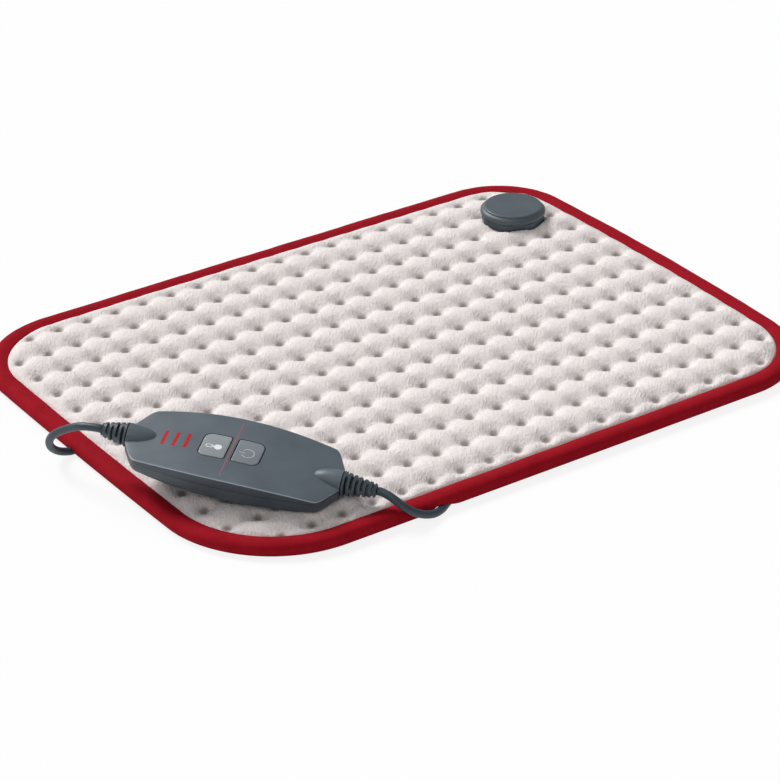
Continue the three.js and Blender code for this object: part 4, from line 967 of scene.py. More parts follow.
def stations(end, first_step, last_step):
    """Places along the housing; with a last step they go on past its shoulders, closer together."""
    middle = np.linspace(-end, end, int(2 * end / first_step) + 1)
    if last_step is None:
        return middle
    count = int((HALF_LENGTH - end) / last_step)
    tail = np.linspace(end, HALF_LENGTH, count + 1)[1:]
    return np.concatenate([-tail[::-1], middle, tail])


def gland_dome(side, wall):
    """Round housing over a strain relief, domed towards the middle of the face."""
    radius = GLAND_RADIUS - wall
    length = GLAND_DOME_LENGTH - wall
    rings = []
    for step in range(DOME_STEPS + 1):
        share = math.sin(math.pi / 2 * step / DOME_STEPS)
        r = max(radius * (1 - share**DOME_POWER) ** (1 / DOME_POWER), DOME_TIP_SHARE * radius)
        u = side * (HALF_LENGTH - max(share * length, wall))
        if not rings or rings[-1][0][0] != u:
            rings.append(hoop(u, r, DOME_SIDES, GLAND_AXIS_DEPTH))
    return skin(rings)


def housing_form(wall):
    if wall > 0:
        return skin([housing_section(u, wall) for u in stations(INNER_END, STATION_STEP, None)])
    places = stations(HALF_SHOULDER - SHOULDER_BLEND, STATION_STEP, END_STEP)
    near_end = HALF_LENGTH - END_ROUND / 2
    left, right = (
        [housing_section(side * near_end), housing_section(side * HALF_LENGTH, inset=END_ROUND)]
        for side in (-1, 1)
    )
    return skin([*left[::-1], *[housing_section(u) for u in places[1:-1]], *right])


def neck_hole(side):
    radius = RELIEF_NECK_RADIUS + MEET_GAP
    ends = (HALF_LENGTH - 2 * HOUSING_WALL, HALF_LENGTH + HOUSING_WALL)
    return skin([hoop(side * u, radius, DOME_SIDES, GLAND_AXIS_DEPTH) for u in ends])


def hollow_housing():
    outer, inner = (
        combine(housing_form(wall), "UNION", [gland_dome(-1, wall), gland_dome(1, wall)])
        for wall in (0, HOUSING_WALL)
    )
    return combine(outer, "DIFFERENCE", [inner, neck_hole(-1), neck_hole(1)])


OUTLINE_STEPS = 10


def button_outline(centre, outer_side, grow):
    """Outline of a button, with its large corners on its outer side."""
    left = centre - BUTTON_LENGTH / 2 - grow
    right = centre + BUTTON_LENGTH / 2 + grow
    half = BUTTON_WIDTH / 2 + grow
    radii = (BUTTON_INNER_RADIUS + grow, BUTTON_OUTER_RADIUS + grow)
    right_radius, left_radius = radii if outer_side < 0 else radii[::-1]
    middles = (
        (right - right_radius, half - right_radius, right_radius),
        (left + left_radius, half - left_radius, left_radius),
        (left + left_radius, left_radius - half, left_radius),
        (right - right_radius, right_radius - half, right_radius),
    )
    return np.concatenate(quarter_turns(middles, OUTLINE_STEPS)).tolist()


BUTTON_REACH = max(abs(HEAT_BUTTON_U), abs(POWER_BUTTON_U)) + BUTTON_LENGTH / 2
FLANGE_TOP = housing_top(BUTTON_REACH) - HOUSING_WALL - MEET_GAP
FLANGE_LOW = FLANGE_TOP - BUTTON_FLANGE_THICKNESS
LIGHT_BAR_START = HEAT_BUTTON_U - BUTTON_LENGTH / 2
LIGHT_BAR_MARGIN = 10
LIGHT_BAR_REACH = LIGHT_BAR_MARGIN - HALF_SHOULDER - LIGHT_BAR_START
LIGHT_BAR_PLACES = [LIGHT_BAR_START + LIGHT_BAR_REACH * share for share in LIGHT_BAR_SHARES]
SCREW_PLACES = [(SCREW_U * a, SCREW_V * b) for a, b in SQUARE]
SCREW_ROOF = housing_top(SCREW_U) - HOUSING_WALL / 2
SCREW_BELLY = -HOUSING_THICKNESS + BELLY_RISE * (SCREW_U / HALF_LENGTH) ** 2
SCREW_SEAT = SCREW_BELLY + SCREW_HEAD_HEIGHT + MEET_GAP
DEEP = -2 * HOUSING_THICKNESS


def screw_drums(radius, low, high):
    return [drum(radius, low, high, u, v) for u, v in SCREW_PLACES]


def half_housing(boss_low, boss_high, low, high):
    """The hollow housing with its screw bosses, between two heights."""
    shell = combine(hollow_housing(), "UNION", screw_drums(SCREW_BOSS_RADIUS, boss_low, boss_high))
    return combine(shell, "INTERSECT", [slab(SLAB_REACH, SLAB_REACH, low, high)])


def make_upper_housing():
    parting = -GLAND_AXIS_DEPTH + PARTING_GAP / 2
    shell = half_housing(-GLAND_AXIS_DEPTH, SCREW_ROOF, parting, HOUSING_THICKNESS)
    holes = [
        prism(button_outline(HEAT_BUTTON_U, -1, BUTTON_GAP), FLANGE_LOW, HOUSING_WALL),
        prism(button_outline(POWER_BUTTON_U, 1, BUTTON_GAP), FLANGE_LOW, HOUSING_WALL),
        slab(ACCENT_WIDTH, ACCENT_LENGTH, -ACCENT_DEPTH - TRIM_GAP, HOUSING_WALL, ACCENT_U, ACCENT_V),
    ]
    bar = (LIGHT_BAR_WIDTH + TRIM_GAP, LIGHT_BAR_LENGTH + TRIM_GAP, -GLAND_AXIS_DEPTH, HOUSING_WALL)
    holes += [slab(*bar, u) for u in LIGHT_BAR_PLACES]
    holes += screw_drums(SCREW_SHANK_RADIUS + TRIM_GAP, -HOUSING_THICKNESS, SCREW_ROOF - TRIM_GAP)
    combine(shell, "DIFFERENCE", holes)
    paint_edge_highlight_and_side_shade(shell.data)
    return dressed(shell, "upper_housing", "housing", ["controller_top_shell"])


def paint_edge_highlight_and_side_shade(mesh):
    """Paints a highlight along the middle of the bevel round the housing's top, and shade on the sides below
    it.
    """
    edges, sides = [], []
    for u, v, w in (vertex.co for vertex in mesh.vertices):
        half = housing_half_width(u)
        inward = (half - abs(v)) / (BEVEL_WIDTH * half / (HOUSING_WIDTH / 2))
        down = (housing_top(u) - w) / BEVEL_DROP
        away = (inward - EDGE_HIGHLIGHT_PLACE[0]) ** 2 + (down - EDGE_HIGHLIGHT_PLACE[1]) ** 2
        edges.append(math.exp(-away / EDGE_HIGHLIGHT_SPREAD))
        # Painted shade on the sides below the bevel, left off the gland domes
        on_dome = abs(v) < GLAND_RADIUS and abs(u) > HALF_LENGTH - GLAND_DOME_LENGTH
        sides.append(0 if on_dome else min(max(2 * down - 1, 0), 1))
    # The painted highlight along the bevel, then the painted shade on the sides
    mark(mesh, "edge", edges)
    mark(mesh, "side", sides)


def make_lower_housing():
    parting = -GLAND_AXIS_DEPTH - PARTING_GAP / 2
    shell = half_housing(SCREW_SEAT - HOUSING_WALL, -GLAND_AXIS_DEPTH, DEEP, parting)
    holes = screw_drums(SCREW_SHANK_RADIUS + TRIM_GAP, DEEP, 0)
    holes += screw_drums(SCREW_HEAD_RADIUS + TRIM_GAP, DEEP, SCREW_SEAT)
    combine(shell, "DIFFERENCE", holes)
    return dressed(shell, "lower_housing", "housing_lower", ["controller_bottom_shell"])


CROSS_LENGTH = 2.9
CROSS_WIDTH = 0.75
CROSS_DEPTH = 0.9
SCREW_EDGE = 0.45
SCREW_EDGE_STEPS = 4
SCREW_AXIS = 0.05
SCREW_FIRST_TURN = 20
SCREW_NEXT_TURN = 25


def make_screw(number, u, v):
    """Pan-head screw seen from below, with a cross recess."""
    seat = SCREW_SEAT - TRIM_GAP
    low = seat - SCREW_HEAD_HEIGHT
    top = SCREW_ROOF - 2 * MEET_GAP
    head, shank = SCREW_HEAD_RADIUS, SCREW_SHANK_RADIUS
    profile = [(SCREW_AXIS, low), (head - 2 * SCREW_EDGE, low)]
    profile += bend(profile[-1], (head, low), (head, low + SCREW_EDGE), SCREW_EDGE_STEPS)
    profile += [(head, seat), (shank, seat), (shank, top), (SCREW_AXIS, top)]
    screw = skin([[(*about(u, v, r, angle), w) for angle in full_turn(ROUND_SIDES)] for r, w in profile])
    cross = []
    for quarter in (0, math.pi / 2):
        angle = math.radians(SCREW_FIRST_TURN + SCREW_NEXT_TURN * number) + quarter
        c, s = math.cos(angle), math.sin(angle)
        corners = [(a * CROSS_LENGTH / 2, b * CROSS_WIDTH / 2) for a, b in SQUARE]
        outline = [(u + x * c - y * s, v + x * s + y * c) for x, y in corners]
        cross.append(prism(outline, low - CROSS_DEPTH, low + CROSS_DEPTH))
    combine(screw, "DIFFERENCE", cross)
    return dressed(screw, f"cross_screw_{number}", "steel", [f"case_screw_{number}"])


# Buttons and their signs
BUTTON_EDGE = 0.55
BUTTON_PILLOW = 0.12
BUTTON_PITCH = 0.9
BUTTON_RINGS = (0.06, 0.1, 0.16, 0.23)


def rim_of(rows, columns):
    """Indices of a grid's rim, in order."""
    near = list(range(columns))
    right = [j * columns + columns - 1 for j in range(1, rows)]
    far = [(rows - 1) * columns + i for i in range(columns - 2, -1, -1)]
    left = [j * columns for j in range(rows - 2, 0, -1)]
    return near + right + far + left


def button_height(u, v, depth, centre):
    """Top of a button: arched as the housing, a little crowned, its edge rounded."""
    t = np.clip(depth / BUTTON_EDGE, 0, 1)
    crown = BUTTON_PILLOW * (1 - ((u - centre) / BUTTON_LENGTH * 2) ** 2) * (1 - (v / BUTTON_WIDTH * 2) ** 2)
    return housing_top(u) + BUTTON_RISE + crown - BUTTON_EDGE * (1 - np.sqrt(1 - (1 - t) ** 2))


def make_button(name, centre, outer_side, body, material):
    inner, outer = BUTTON_INNER_RADIUS, BUTTON_OUTER_RADIUS
    radii = (inner, outer, outer, inner) if outer_side < 0 else (outer, inner, inner, outer)
    x, y, depth = rounded_plan(BUTTON_LENGTH / 2, BUTTON_WIDTH / 2, radii, BUTTON_PITCH, BUTTON_RINGS)
    u = x + centre
    top = np.stack([u, y, button_height(u, y, depth, centre)], -1)
    rows, columns = x.shape
    points = top.reshape(-1, 3).tolist()
    faces = grid_faces(rows, columns)
    rim = rim_of(rows, columns)
    plan = np.array([points[k][:2] for k in rim])
    ahead = np.roll(plan, -1, 0) - np.roll(plan, 1, 0)
    out = np.stack([ahead[:, 1], -ahead[:, 0]], -1) / np.linalg.norm(ahead, axis=1)[:, None]
    last = rim
    for grow, w in ((0, FLANGE_TOP), (BUTTON_FLANGE, FLANGE_TOP), (BUTTON_FLANGE, FLANGE_LOW)):
        ring = list(range(len(points), len(points) + len(rim)))
        points += [(a, b, w) for a, b in (plan + grow * out).tolist()]
        faces += [(last[k], ring[k], ring[k - 1], last[k - 1]) for k in range(len(rim))]
        last = ring
    faces.append(last)
    return dressed(form(points, faces), name, material, [body], body=body)


PRINT_RISE = 0.05
PRINT_SINK = 0.12


def print_strip(left, right, centre):
    """A thin print on a button's top between two lines of (u, v) points."""
    left, right = np.asarray(left, float), np.asarray(right, float)
    rings = []
    for a, b in zip(left, right):
        ring = []
        for (u, v), rise in ((a, PRINT_RISE), (b, PRINT_RISE), (b, -PRINT_SINK), (a, -PRINT_SINK)):
            ring.append((u, v, float(button_height(u, v, BUTTON_LENGTH, centre)) + rise))
        rings.append(ring)
    return loft(rings)


def line_strip(path, width, centre):
    """A print along a path of (u, v) points."""
    path = np.asarray(path, float)
    ahead = np.gradient(path, axis=0)
    side = np.stack([-ahead[:, 1], ahead[:, 0]], -1) / np.linalg.norm(ahead, axis=1)[:, None]
    return print_strip(path + side * width / 2, path - side * width / 2, centre)


def make_print(name, strips, body, material):
    points, faces = [], []
    for more, added in strips:
        faces += [[k + len(points) for k in face] for face in added]
        points += np.asarray(more).tolist()
    points = on_pad(np.asarray(points) + (0, SIGN_V, 0))
    piece = add_mesh(name, points, faces, material, body)
    crisp(piece.data)
    return piece


SIGN_LINE = 0.42
SIGN_V = -1.3
POWER_RADIUS = 3.6
POWER_OPENING = math.radians(34)
POWER_BAR = (1.6, 5.2)
BULB_RADIUS = 2.3
BULB_REACH = 2.2
BULB_END_SHARE = 0.999
TUBE_RADIUS = 1.2
TUBE_REACH = -3.7
TUBE_PAST = 1
RING_STEPS = 60
BAR_STEPS = 6
TUBE_STEPS = 20
BULB_STEPS = 40
MERCURY_REACH = -1.8
MERCURY_LEAST = 0.05
STEM_HALVES = (0.35, 1.5)


def make_power_sign():
    u = POWER_BUTTON_U
    turns = np.linspace(math.pi + POWER_OPENING, 3 * math.pi - POWER_OPENING, RING_STEPS)
    ring = [about(u, 0, POWER_RADIUS, turn) for turn in turns]
    bar = [(u - reach, 0) for reach in np.linspace(*POWER_BAR, BAR_STEPS)]
    strips = [line_strip(ring, SIGN_LINE, u), line_strip(bar, SIGN_LINE, u)]
    return make_print("power_sign", strips, "power_button", "print_pale")


def make_heat_sign():
    """Thermometer lying along the housing, its bulb towards the middle."""
    u = HEAT_BUTTON_U
    turns = np.linspace(math.pi / 2, 3 * math.pi / 2, TUBE_STEPS)
    cap = [about(u + TUBE_REACH, 0, TUBE_RADIUS, turn) for turn in turns]
    ends = (u + MERCURY_REACH + TUBE_PAST, u + MERCURY_REACH)
    tube = [*[(end, TUBE_RADIUS) for end in ends], *cap, *[(end, -TUBE_RADIUS) for end in ends[::-1]]]
    left, right = [], []
    for s in np.linspace(MERCURY_REACH, BULB_REACH + BULB_RADIUS * BULB_END_SHARE, BULB_STEPS):
        share = max(s - MERCURY_REACH, 0) / (BULB_REACH - MERCURY_REACH)
        stem = STEM_HALVES[0] + (STEM_HALVES[1] - STEM_HALVES[0]) * share * share
        bulb = math.sqrt(max(BULB_RADIUS**2 - (s - BULB_REACH) ** 2, 0))
        half = max(bulb, stem if s < BULB_REACH else 0, MERCURY_LEAST)
        left.append((u + s, half))
        right.append((u + s, -half))
    strips = [line_strip(tube, SIGN_LINE, u), print_strip(left, right, u)]
    return make_print("heat_sign", strips, "heat_button", "print_white")


# Strain reliefs: round, tapered, with slots that turn by a quarter from one to the next
SLOT_PITCH = 3.1
SLOT_WIDTH = 1.25
SLOT_HALF_ARC = math.radians(76)
SLOT_SOFT = 0.22
SLOT_END_SOFT = 0.12
COLLAR = 1.2
RELIEF_ROUND = 1.2
RELIEF_SIDES = 64
RELIEF_FOOT_SHARE = 0.9
RELIEF_TAPER_POWER = 1.1
RELIEF_ROUND_STEPS = 6


def relief_rings(length, wide, narrow, inner):
    """Rings of a relief as (along it, across, up); with inner, its neck goes in through the housing."""
    count = int((length - COLLAR - 2 * RELIEF_ROUND) / SLOT_PITCH)
    starts = [COLLAR + SLOT_WIDTH / 2 + k * SLOT_PITCH for k in range(count + 1)]
    offsets = [edge + soft for edge in (0, SLOT_WIDTH) for soft in (-SLOT_SOFT, 0, SLOT_SOFT)]
    places = {start + offset for start in starts for offset in (*offsets, SLOT_WIDTH / 2)}
    turns = [math.pi / 2 * k / RELIEF_ROUND_STEPS for k in range(RELIEF_ROUND_STEPS)]
    places |= {COLLAR / 3, COLLAR, length, *[length - RELIEF_ROUND * (1 - math.sin(turn)) for turn in turns]}
    necks = (-HOUSING_WALL - 2 * MEET_GAP, -MEET_GAP) if inner else ()
    rings = [hoop(s, RELIEF_NECK_RADIUS, RELIEF_SIDES) for s in necks]
    rings.append(hoop(0, RELIEF_FOOT_SHARE * wide, RELIEF_SIDES))
    for s in sorted(places):
        outer = wide - (wide - narrow) * (s / length) ** RELIEF_TAPER_POWER
        past = max(s - (length - RELIEF_ROUND), 0) / RELIEF_ROUND
        outer -= (narrow - LEAD_RADIUS - MEET_GAP) * (1 - math.sqrt(1 - past * past))
        near = [k for k, start in enumerate(starts) if -SLOT_SOFT < s - start < SLOT_WIDTH + SLOT_SOFT]
        ring = []
        for a in full_turn(RELIEF_SIDES):
            r = outer
            for k in near:
                fold = (a - k % 2 * math.pi / 2 + math.pi / 2) % math.pi - math.pi / 2
                within = min(s - starts[k], starts[k] + SLOT_WIDTH - s) + SLOT_SOFT
                ramp = min(max(within / (2 * SLOT_SOFT), 0), 1)
                end = min(max((SLOT_HALF_ARC - abs(fold)) / SLOT_END_SOFT, 0), 1)
                r = outer - (outer - RELIEF_CORE_RADIUS) * ramp * end
            ring.append((s, *about(0, 0, r, a)))
        rings.append(ring)
    return rings


def make_gland_relief(name, side, length, node):
    outside = HALF_LENGTH + MEET_GAP
    rings = [
        [(side * (outside + s), side * across, up - GLAND_AXIS_DEPTH) for s, across, up in ring]
        for ring in relief_rings(length, GLAND_RADIUS, RELIEF_END_RADIUS, True)
    ]
    return dressed(skin(rings), name, "relief", [node])


make_upper_housing()
lower_housing = make_lower_housing()
for number, (screw_u, screw_v) in enumerate(SCREW_PLACES, 1):
    make_screw(number, screw_u, screw_v)
make_button("heat_key", HEAT_BUTTON_U, -1, "heat_button", "button")
make_button("power_key", POWER_BUTTON_U, 1, "power_button", "button_dark")
make_heat_sign()
make_power_sign()
make_gland_relief("pad_side_relief", -1, PAD_RELIEF_LENGTH, "pad_lead_relief")
make_gland_relief("mains_side_relief", 1, MAINS_RELIEF_LENGTH, "mains_lead_relief")


# Coupling
COUPLING_SIDES = 96
CORNER_ROUND_SHARE = 0.14
CORNER_ROUND_DEPTH_SHARE = 0.018
FLANGE_EDGE = 0.5
HALFWAY_SHARE = 0.13
CAP_EDGE = 0.8
CAP_STEP = 1.3
CAP_HOLLOW = 0.15
CAP_HOLLOW_SHARE = 0.7
CAP_AXIS = 0.1
CAP_EDGE_STEPS = 5
CAP_FLARE_STEPS = 7
SEAM = 0.7
SEAM_LIP_SHARE = 1.3
SEAM_ROOF_SHARE = 1.2
SEAM_DEPTH_SHARE = 1.5
OCTAGON_STEP = math.pi / 4


def octagon_reach(angle, radius):
    """Distance from the centre to an octagon with softened corners."""
    step = OCTAGON_STEP
    fold = (angle - COUPLING_TURN + step / 2) % step - step / 2
    straight = radius * math.cos(step / 2) / math.cos(step / 2 - abs(fold))
    soft = max(1 - abs(fold) / (step * CORNER_ROUND_SHARE), 0)
    return straight - CORNER_ROUND_DEPTH_SHARE * radius * soft * soft


def coupling_ring(reach, z):
    """A ring round the coupling's middle; reach is a radius or a function of the angle."""
    angles = full_turn(COUPLING_SIDES) + COUPLING_TURN
    reaches = [reach(angle) if callable(reach) else reach for angle in angles]
    return [(*about(COUPLING_X, COUPLING_Y, r, angle), z) for r, angle in zip(reaches, angles)]


def make_coupling_flange():
    low, top, edge = FLANGE_LOW_Z, FLANGE_TOP_Z, FLANGE_EDGE
    halfway = edge * HALFWAY_SHARE

    def octagon(inset):
        return lambda angle: octagon_reach(angle, COUPLING_RADIUS) - inset

    bore = STEM_RADIUS - COUPLING_WALL
    profile = [(octagon(edge), low), (octagon(edge / 4), low + edge / 4), (octagon(0), low + edge)]
    profile += [(octagon(0), top - edge), (octagon(halfway), top - edge / 2)]
    profile += [(octagon(edge / 2), top - halfway), (octagon(edge), top), (octagon(2 * edge), top)]
    profile += [(bore, top), (bore, STEM_LOW_Z)]
    profile += [(STEM_RADIUS, STEM_LOW_Z), (STEM_RADIUS, low)]
    solid = skin([coupling_ring(reach, z) for reach, z in profile], closed_run=True)
    return dressed(solid, "coupling_flange", "coupling_plastic", ["coupling_base"], PAD_FRAME)


def make_coupling_lid():
    top, flare, high = CAP_TOP_RADIUS, COUPLING_RADIUS, CAP_HEIGHT
    spigot = STEM_RADIUS - COUPLING_WALL - MEET_GAP
    inner = spigot - COUPLING_WALL
    lip = high - CAP_STEP
    ceiling = high - CAP_RIM - CAP_DISH
    profile = [(CAP_AXIS, high - CAP_HOLLOW), (top / 2, high - CAP_HOLLOW * CAP_HOLLOW_SHARE)]
    profile += [(top - 2 * CAP_EDGE, high)]
    profile += bend(profile[-1], (top, high), (top, high - CAP_EDGE), CAP_EDGE_STEPS)
    profile += [(top + CAP_EDGE / 4, lip)]
    shoulder = (flare - CAP_EDGE, lip - CAP_EDGE / 2)
    profile += bend(profile[-1], shoulder, (flare, lip - 2 * CAP_EDGE), CAP_FLARE_STEPS)
    groove = flare - SEAM_DEPTH_SHARE * SEAM
    profile += [(flare, 2 * SEAM), (flare - SEAM / 3, SEAM_LIP_SHARE * SEAM)]
    profile += [(groove, SEAM_ROOF_SHARE * SEAM), (groove, 0)]
    profile += [(spigot, 0), (spigot, -SPIGOT_DEPTH), (inner, -SPIGOT_DEPTH)]
    profile += [(inner, ceiling), (CAP_AXIS, ceiling)]
    solid = skin([coupling_ring(r, CAP_LOW_Z + z) for r, z in profile])
    return dressed(solid, "coupling_lid", "coupling_plastic", ["coupling_cap"], PAD_FRAME)


make_coupling_flange()
make_coupling_lid()


# Plug, its relief, its pins and the coil's tie
PLUG_LENGTH = 34
PLUG_WIDTH = 35
PLUG_HEIGHT = 13.5
PLUG_WAIST_WIDTH = 19
PLUG_WAIST_HEIGHT = 11
PLUG_ALONG = (0, 0.15, 0.45, 0.7, 0.85, 1)
PLUG_WIDE = (-0.3, 0, 0.05, 0.45, 1, 0.96)
PLUG_HIGH = (-0.2, 0, 0.3, 0.7, 1, 0.95)
PLUG_ROWS = 60
PLUG_SIDES = 64
PLUG_POWER = 2.7
PLUG_EDGE = 1.2
GRIP_PITCH = 2.4
GRIP_DEPTH = 0.35
GRIP_SHARES = (0.12, 0.58)
GRIP_FADE_SHARE = 0.08
PLUG_END_SHARE = 0.99
CURVE_POINTS = 401
CURVE_EASE = 35
PIN_RADIUS = 2
PIN_LENGTH = 19
PIN_SPACING = 18.6
SLEEVE_LENGTH = 10
SLEEVE_GROW = 0.02
SLEEVE_BORE_INSET = 0.22
SLEEVE_ROUND = 0.1
PIN_NECK_INSET = 0.25
PIN_NECK_END = 0.3
PIN_AXIS = 0.1
PIN_TIP_STEPS = 6
TIE_WIDTH = 12
TIE_FLOOR_GAP = 0.1
TIE_CORNER_STEPS = 8


def plug_size(waist, full, shares, share):
    """A width or height of the plug, along a curve eased through the given shares."""
    line = np.interp(np.linspace(0, 1, CURVE_POINTS), PLUG_ALONG, shares)
    weights = np.hanning(2 * CURVE_EASE + 1)
    eased = np.convolve(np.pad(line, CURVE_EASE, mode="edge"), weights / weights.sum(), mode="valid")
    return waist + (full - waist) * np.interp(share, np.linspace(0, 1, CURVE_POINTS), eased)


def plug_ring(y, half_width, half_height):
    """A ring across the plug, between an ellipse and a rectangle."""
    across, up = (
        np.sign(turn) * np.abs(turn) ** (2 / PLUG_POWER)
        for turn in (np.cos(full_turn(PLUG_SIDES)), np.sin(full_turn(PLUG_SIDES)))
    )
    return [(PLUG_X + a, y, PLUG_AXIS_Z + b) for a, b in zip(across * half_width, up * half_height)]


def make_plug():
    start = PLUG_RELIEF_Y + PLUG_RELIEF_LENGTH + MEET_GAP
    grip_start, grip_end = GRIP_SHARES
    rings = []
    for share in np.linspace(0, 1, PLUG_ROWS):
        wide = plug_size(PLUG_WAIST_WIDTH, PLUG_WIDTH, PLUG_WIDE, share)
        high = plug_size(PLUG_WAIST_HEIGHT, PLUG_HEIGHT, PLUG_HIGH, share)
        s = share * PLUG_LENGTH
        grip = smooth_step(share, grip_start, grip_start + GRIP_FADE_SHARE)
        grip *= 1 - smooth_step(share, grip_end - GRIP_FADE_SHARE, grip_end)
        groove = GRIP_DEPTH * grip * (0.5 - 0.5 * math.cos(2 * math.pi * s / GRIP_PITCH))
        edge = max(PLUG_EDGE - (PLUG_LENGTH - s), PLUG_EDGE - s, 0) / PLUG_EDGE
        inset = groove + PLUG_EDGE * (1 - math.sqrt(1 - edge * edge * PLUG_END_SHARE))
        rings.append(plug_ring(start + s, wide / 2 - inset, high / 2 - inset))
    return dressed(skin(rings), "plug_shell", "dark_plastic", ["plug_body"], PAD_FRAME)


def make_plug_relief():
    base = PLUG_RELIEF_Y + PLUG_RELIEF_LENGTH
    rings = [
        [(PLUG_X + across, base - s, PLUG_AXIS_Z + up) for s, across, up in ring]
        for ring in relief_rings(PLUG_RELIEF_LENGTH, PLUG_RELIEF_RADIUS, RELIEF_END_RADIUS, False)
    ]
    return dressed(skin(rings), "plug_side_relief", "relief", ["plug_relief"], PAD_FRAME)


def pin_part(name, side, profile, material, replaced, hollow=False):
    """A turned part of a pin, from (place along it, radius)."""
    start = PLUG_RELIEF_Y + PLUG_RELIEF_LENGTH + PLUG_LENGTH + 2 * MEET_GAP
    x = PLUG_X + side * PIN_SPACING / 2
    rings = [
        [(x + across, start + s, PLUG_AXIS_Z + up) for s, across, up in hoop(along, radius, ROUND_SIDES)]
        for along, radius in profile
    ]
    return dressed(skin(rings, hollow), name, material, replaced, PAD_FRAME)


def make_pin(number, side):
    """A round pin and the insulating sleeve on its root."""
    r, length, sleeve = PIN_RADIUS, PIN_LENGTH, SLEEVE_LENGTH
    turns = [math.pi / 2 * k / PIN_TIP_STEPS for k in range(PIN_TIP_STEPS)]
    tip = [(length - r * (1 - math.sin(turn)), r * math.cos(turn)) for turn in turns]
    neck, bore, out = r - PIN_NECK_INSET, r - SLEEVE_BORE_INSET, r + SLEEVE_GROW
    core = [(0, neck), (sleeve - PIN_NECK_END, neck), (sleeve + SLEEVE_ROUND, r), *tip, (length, PIN_AXIS)]
    cover = [(0, bore), (0, out), (sleeve - PIN_NECK_END, out), (sleeve, r - SLEEVE_ROUND), (sleeve, bore)]
    node = [f"plug_pin_{number}"]
    return [
        pin_part(f"round_pin_{number}", side, core, "steel", node),
        pin_part(f"pin_sleeve_{number}", side, cover, "dark_plastic", node, True),
    ]


def make_tie():
    """Band of hook-and-loop tape round the coil's near side."""
    inner_turn = COIL_INNER + COIL_PITCH / 2 - LEAD_RADIUS
    corner, half = LEAD_RADIUS, TIE_WIDTH / 2
    inner_y = COIL_Y - math.sqrt(inner_turn**2 - half**2) + 2 * MEET_GAP - corner
    outer_y = COIL_Y - COIL_OUTER + COIL_PITCH / 2 - LEAD_RADIUS - MEET_GAP + corner
    low = TIE_FLOOR_GAP + TIE_THICKNESS + corner
    high = COIL_HIGH_Z + LEAD_RADIUS + MEET_GAP - corner
    middles = ((inner_y, high), (outer_y, high), (outer_y, low), (inner_y, low))
    inside, outside = (
        np.concatenate(quarter_turns([(*middle, reach) for middle in middles], TIE_CORNER_STEPS))
        for reach in (corner, corner + TIE_THICKNESS)
    )
    left, right = COIL_X - half, COIL_X + half
    rings = [[(left, *a), (left, *b), (right, *b), (right, *a)] for a, b in zip(inside, outside)]
    return dressed(skin(rings, closed_run=True), "coil_band", "strap", ["coil_tie"], PAD_FRAME)


# Cords
CORD_SIDES = 20


def make_cord(name, route, replaced, with_pieces=()):
    points, faces = sweep_tube(route, LEAD_RADIUS, CORD_SIDES)
    cord = add_mesh(name, points, faces, "rubber")
    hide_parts(*replaced)
    return cord


pad_lead_path = pad_lead_route()
mains_lead_path = mains_lead_route()
make_cord("pad_side_lead", pad_lead_path, ["pad_lead"])
make_cord(
    "mains_side_lead",
    mains_lead_path,
    ["mains_lead", "mains_lead_coil", "plug_lead"],
    [make_tie(), make_plug_relief(), make_plug(), *make_pin(1, -1), *make_pin(2, 1)],
)


# Pad outline and quilting
CORNERS = (
    (1, 1, RADIUS_FAR_RIGHT),
    (-1, 1, RADIUS_FAR_LEFT),
    (-1, -1, RADIUS_NEAR_LEFT),
    (1, -1, RADIUS_NEAR_RIGHT),
)
CORNER_STEPS = 40
SIDE_STEPS = 90


def bowed(points):
    """The pad's sides bow in a little towards its corners."""
    x, y = points[..., 0], points[..., 1]
    u = x / (PAD_LENGTH / 2)
    v = y / (PAD_WIDTH / 2)
    bow_x = np.where(u > 0, BOW_RIGHT, BOW_LEFT)
    bow_y = np.where(v > 0, BOW_FAR, BOW_NEAR)
    return np.stack([x - u * bow_x * v * v, y - v * bow_y * u * u], -1)


def pad_outline(inset):
    """Outline of the pad at an inset, counter-clockwise."""
    reach_x, reach_y = PAD_LENGTH / 2, PAD_WIDTH / 2
    middles = [(a * (reach_x - r), b * (reach_y - r), r - inset) for a, b, r in CORNERS]
    arcs = np.array(quarter_turns(middles, CORNER_STEPS))
    points = []
    for arc, following in zip(arcs, np.roll(arcs, -1, 0)):
        start, end = arc[-1], following[0]
        points += [*arc, *[start + (end - start) * step / SIDE_STEPS for step in range(1, SIDE_STEPS)]]
    return bowed(np.array(points))


def rounded_grid(inset, pitch, edge_steps=()):
    """A grid whose rim follows the pad's outline at an inset, and each point's inset."""
    radii = [radius - inset for _, _, radius in CORNERS]
    x, y, depth = rounded_plan(PAD_LENGTH / 2 - inset, PAD_WIDTH / 2 - inset, radii, pitch, edge_steps)
    return bowed(np.stack([x, y], -1)), inset + depth


def weld_offsets(x, y):
    """Distances along x and y to the nearest weld."""
    near_x = (x / WELD_PITCH_X + 0.5) % 1
    near_y = ((y - WELD_SHIFT_Y) / WELD_PITCH_Y + 0.5) % 1
    dx = np.where(near_x > 0.5, near_x - 1, near_x) * WELD_PITCH_X
    dy = (near_y - 0.5) * WELD_PITCH_Y
    return dx, dy


CROWN_LIFT = 0.5
WELD_RADIUS = 1.2
PIT_RADIUS = 10.4
PIT_DEPTH = 6.1
PIT_SHARE = 1.8
PIT_LEAN = (-2.2, -3.9)
# Painted shade in each pit: how far it is shifted from the weld, and where it starts and stops fading
PIT_SHADE_LEAN = (0.7, 1.0)
PIT_SHADE_RADIUS = 1.0
PIT_SHADE_REACH = 4.3
ROW_CREASE_DEPTH = 2.5
COLUMN_CREASE_DEPTH = 0.95
CREASE_SHARE = 0.85


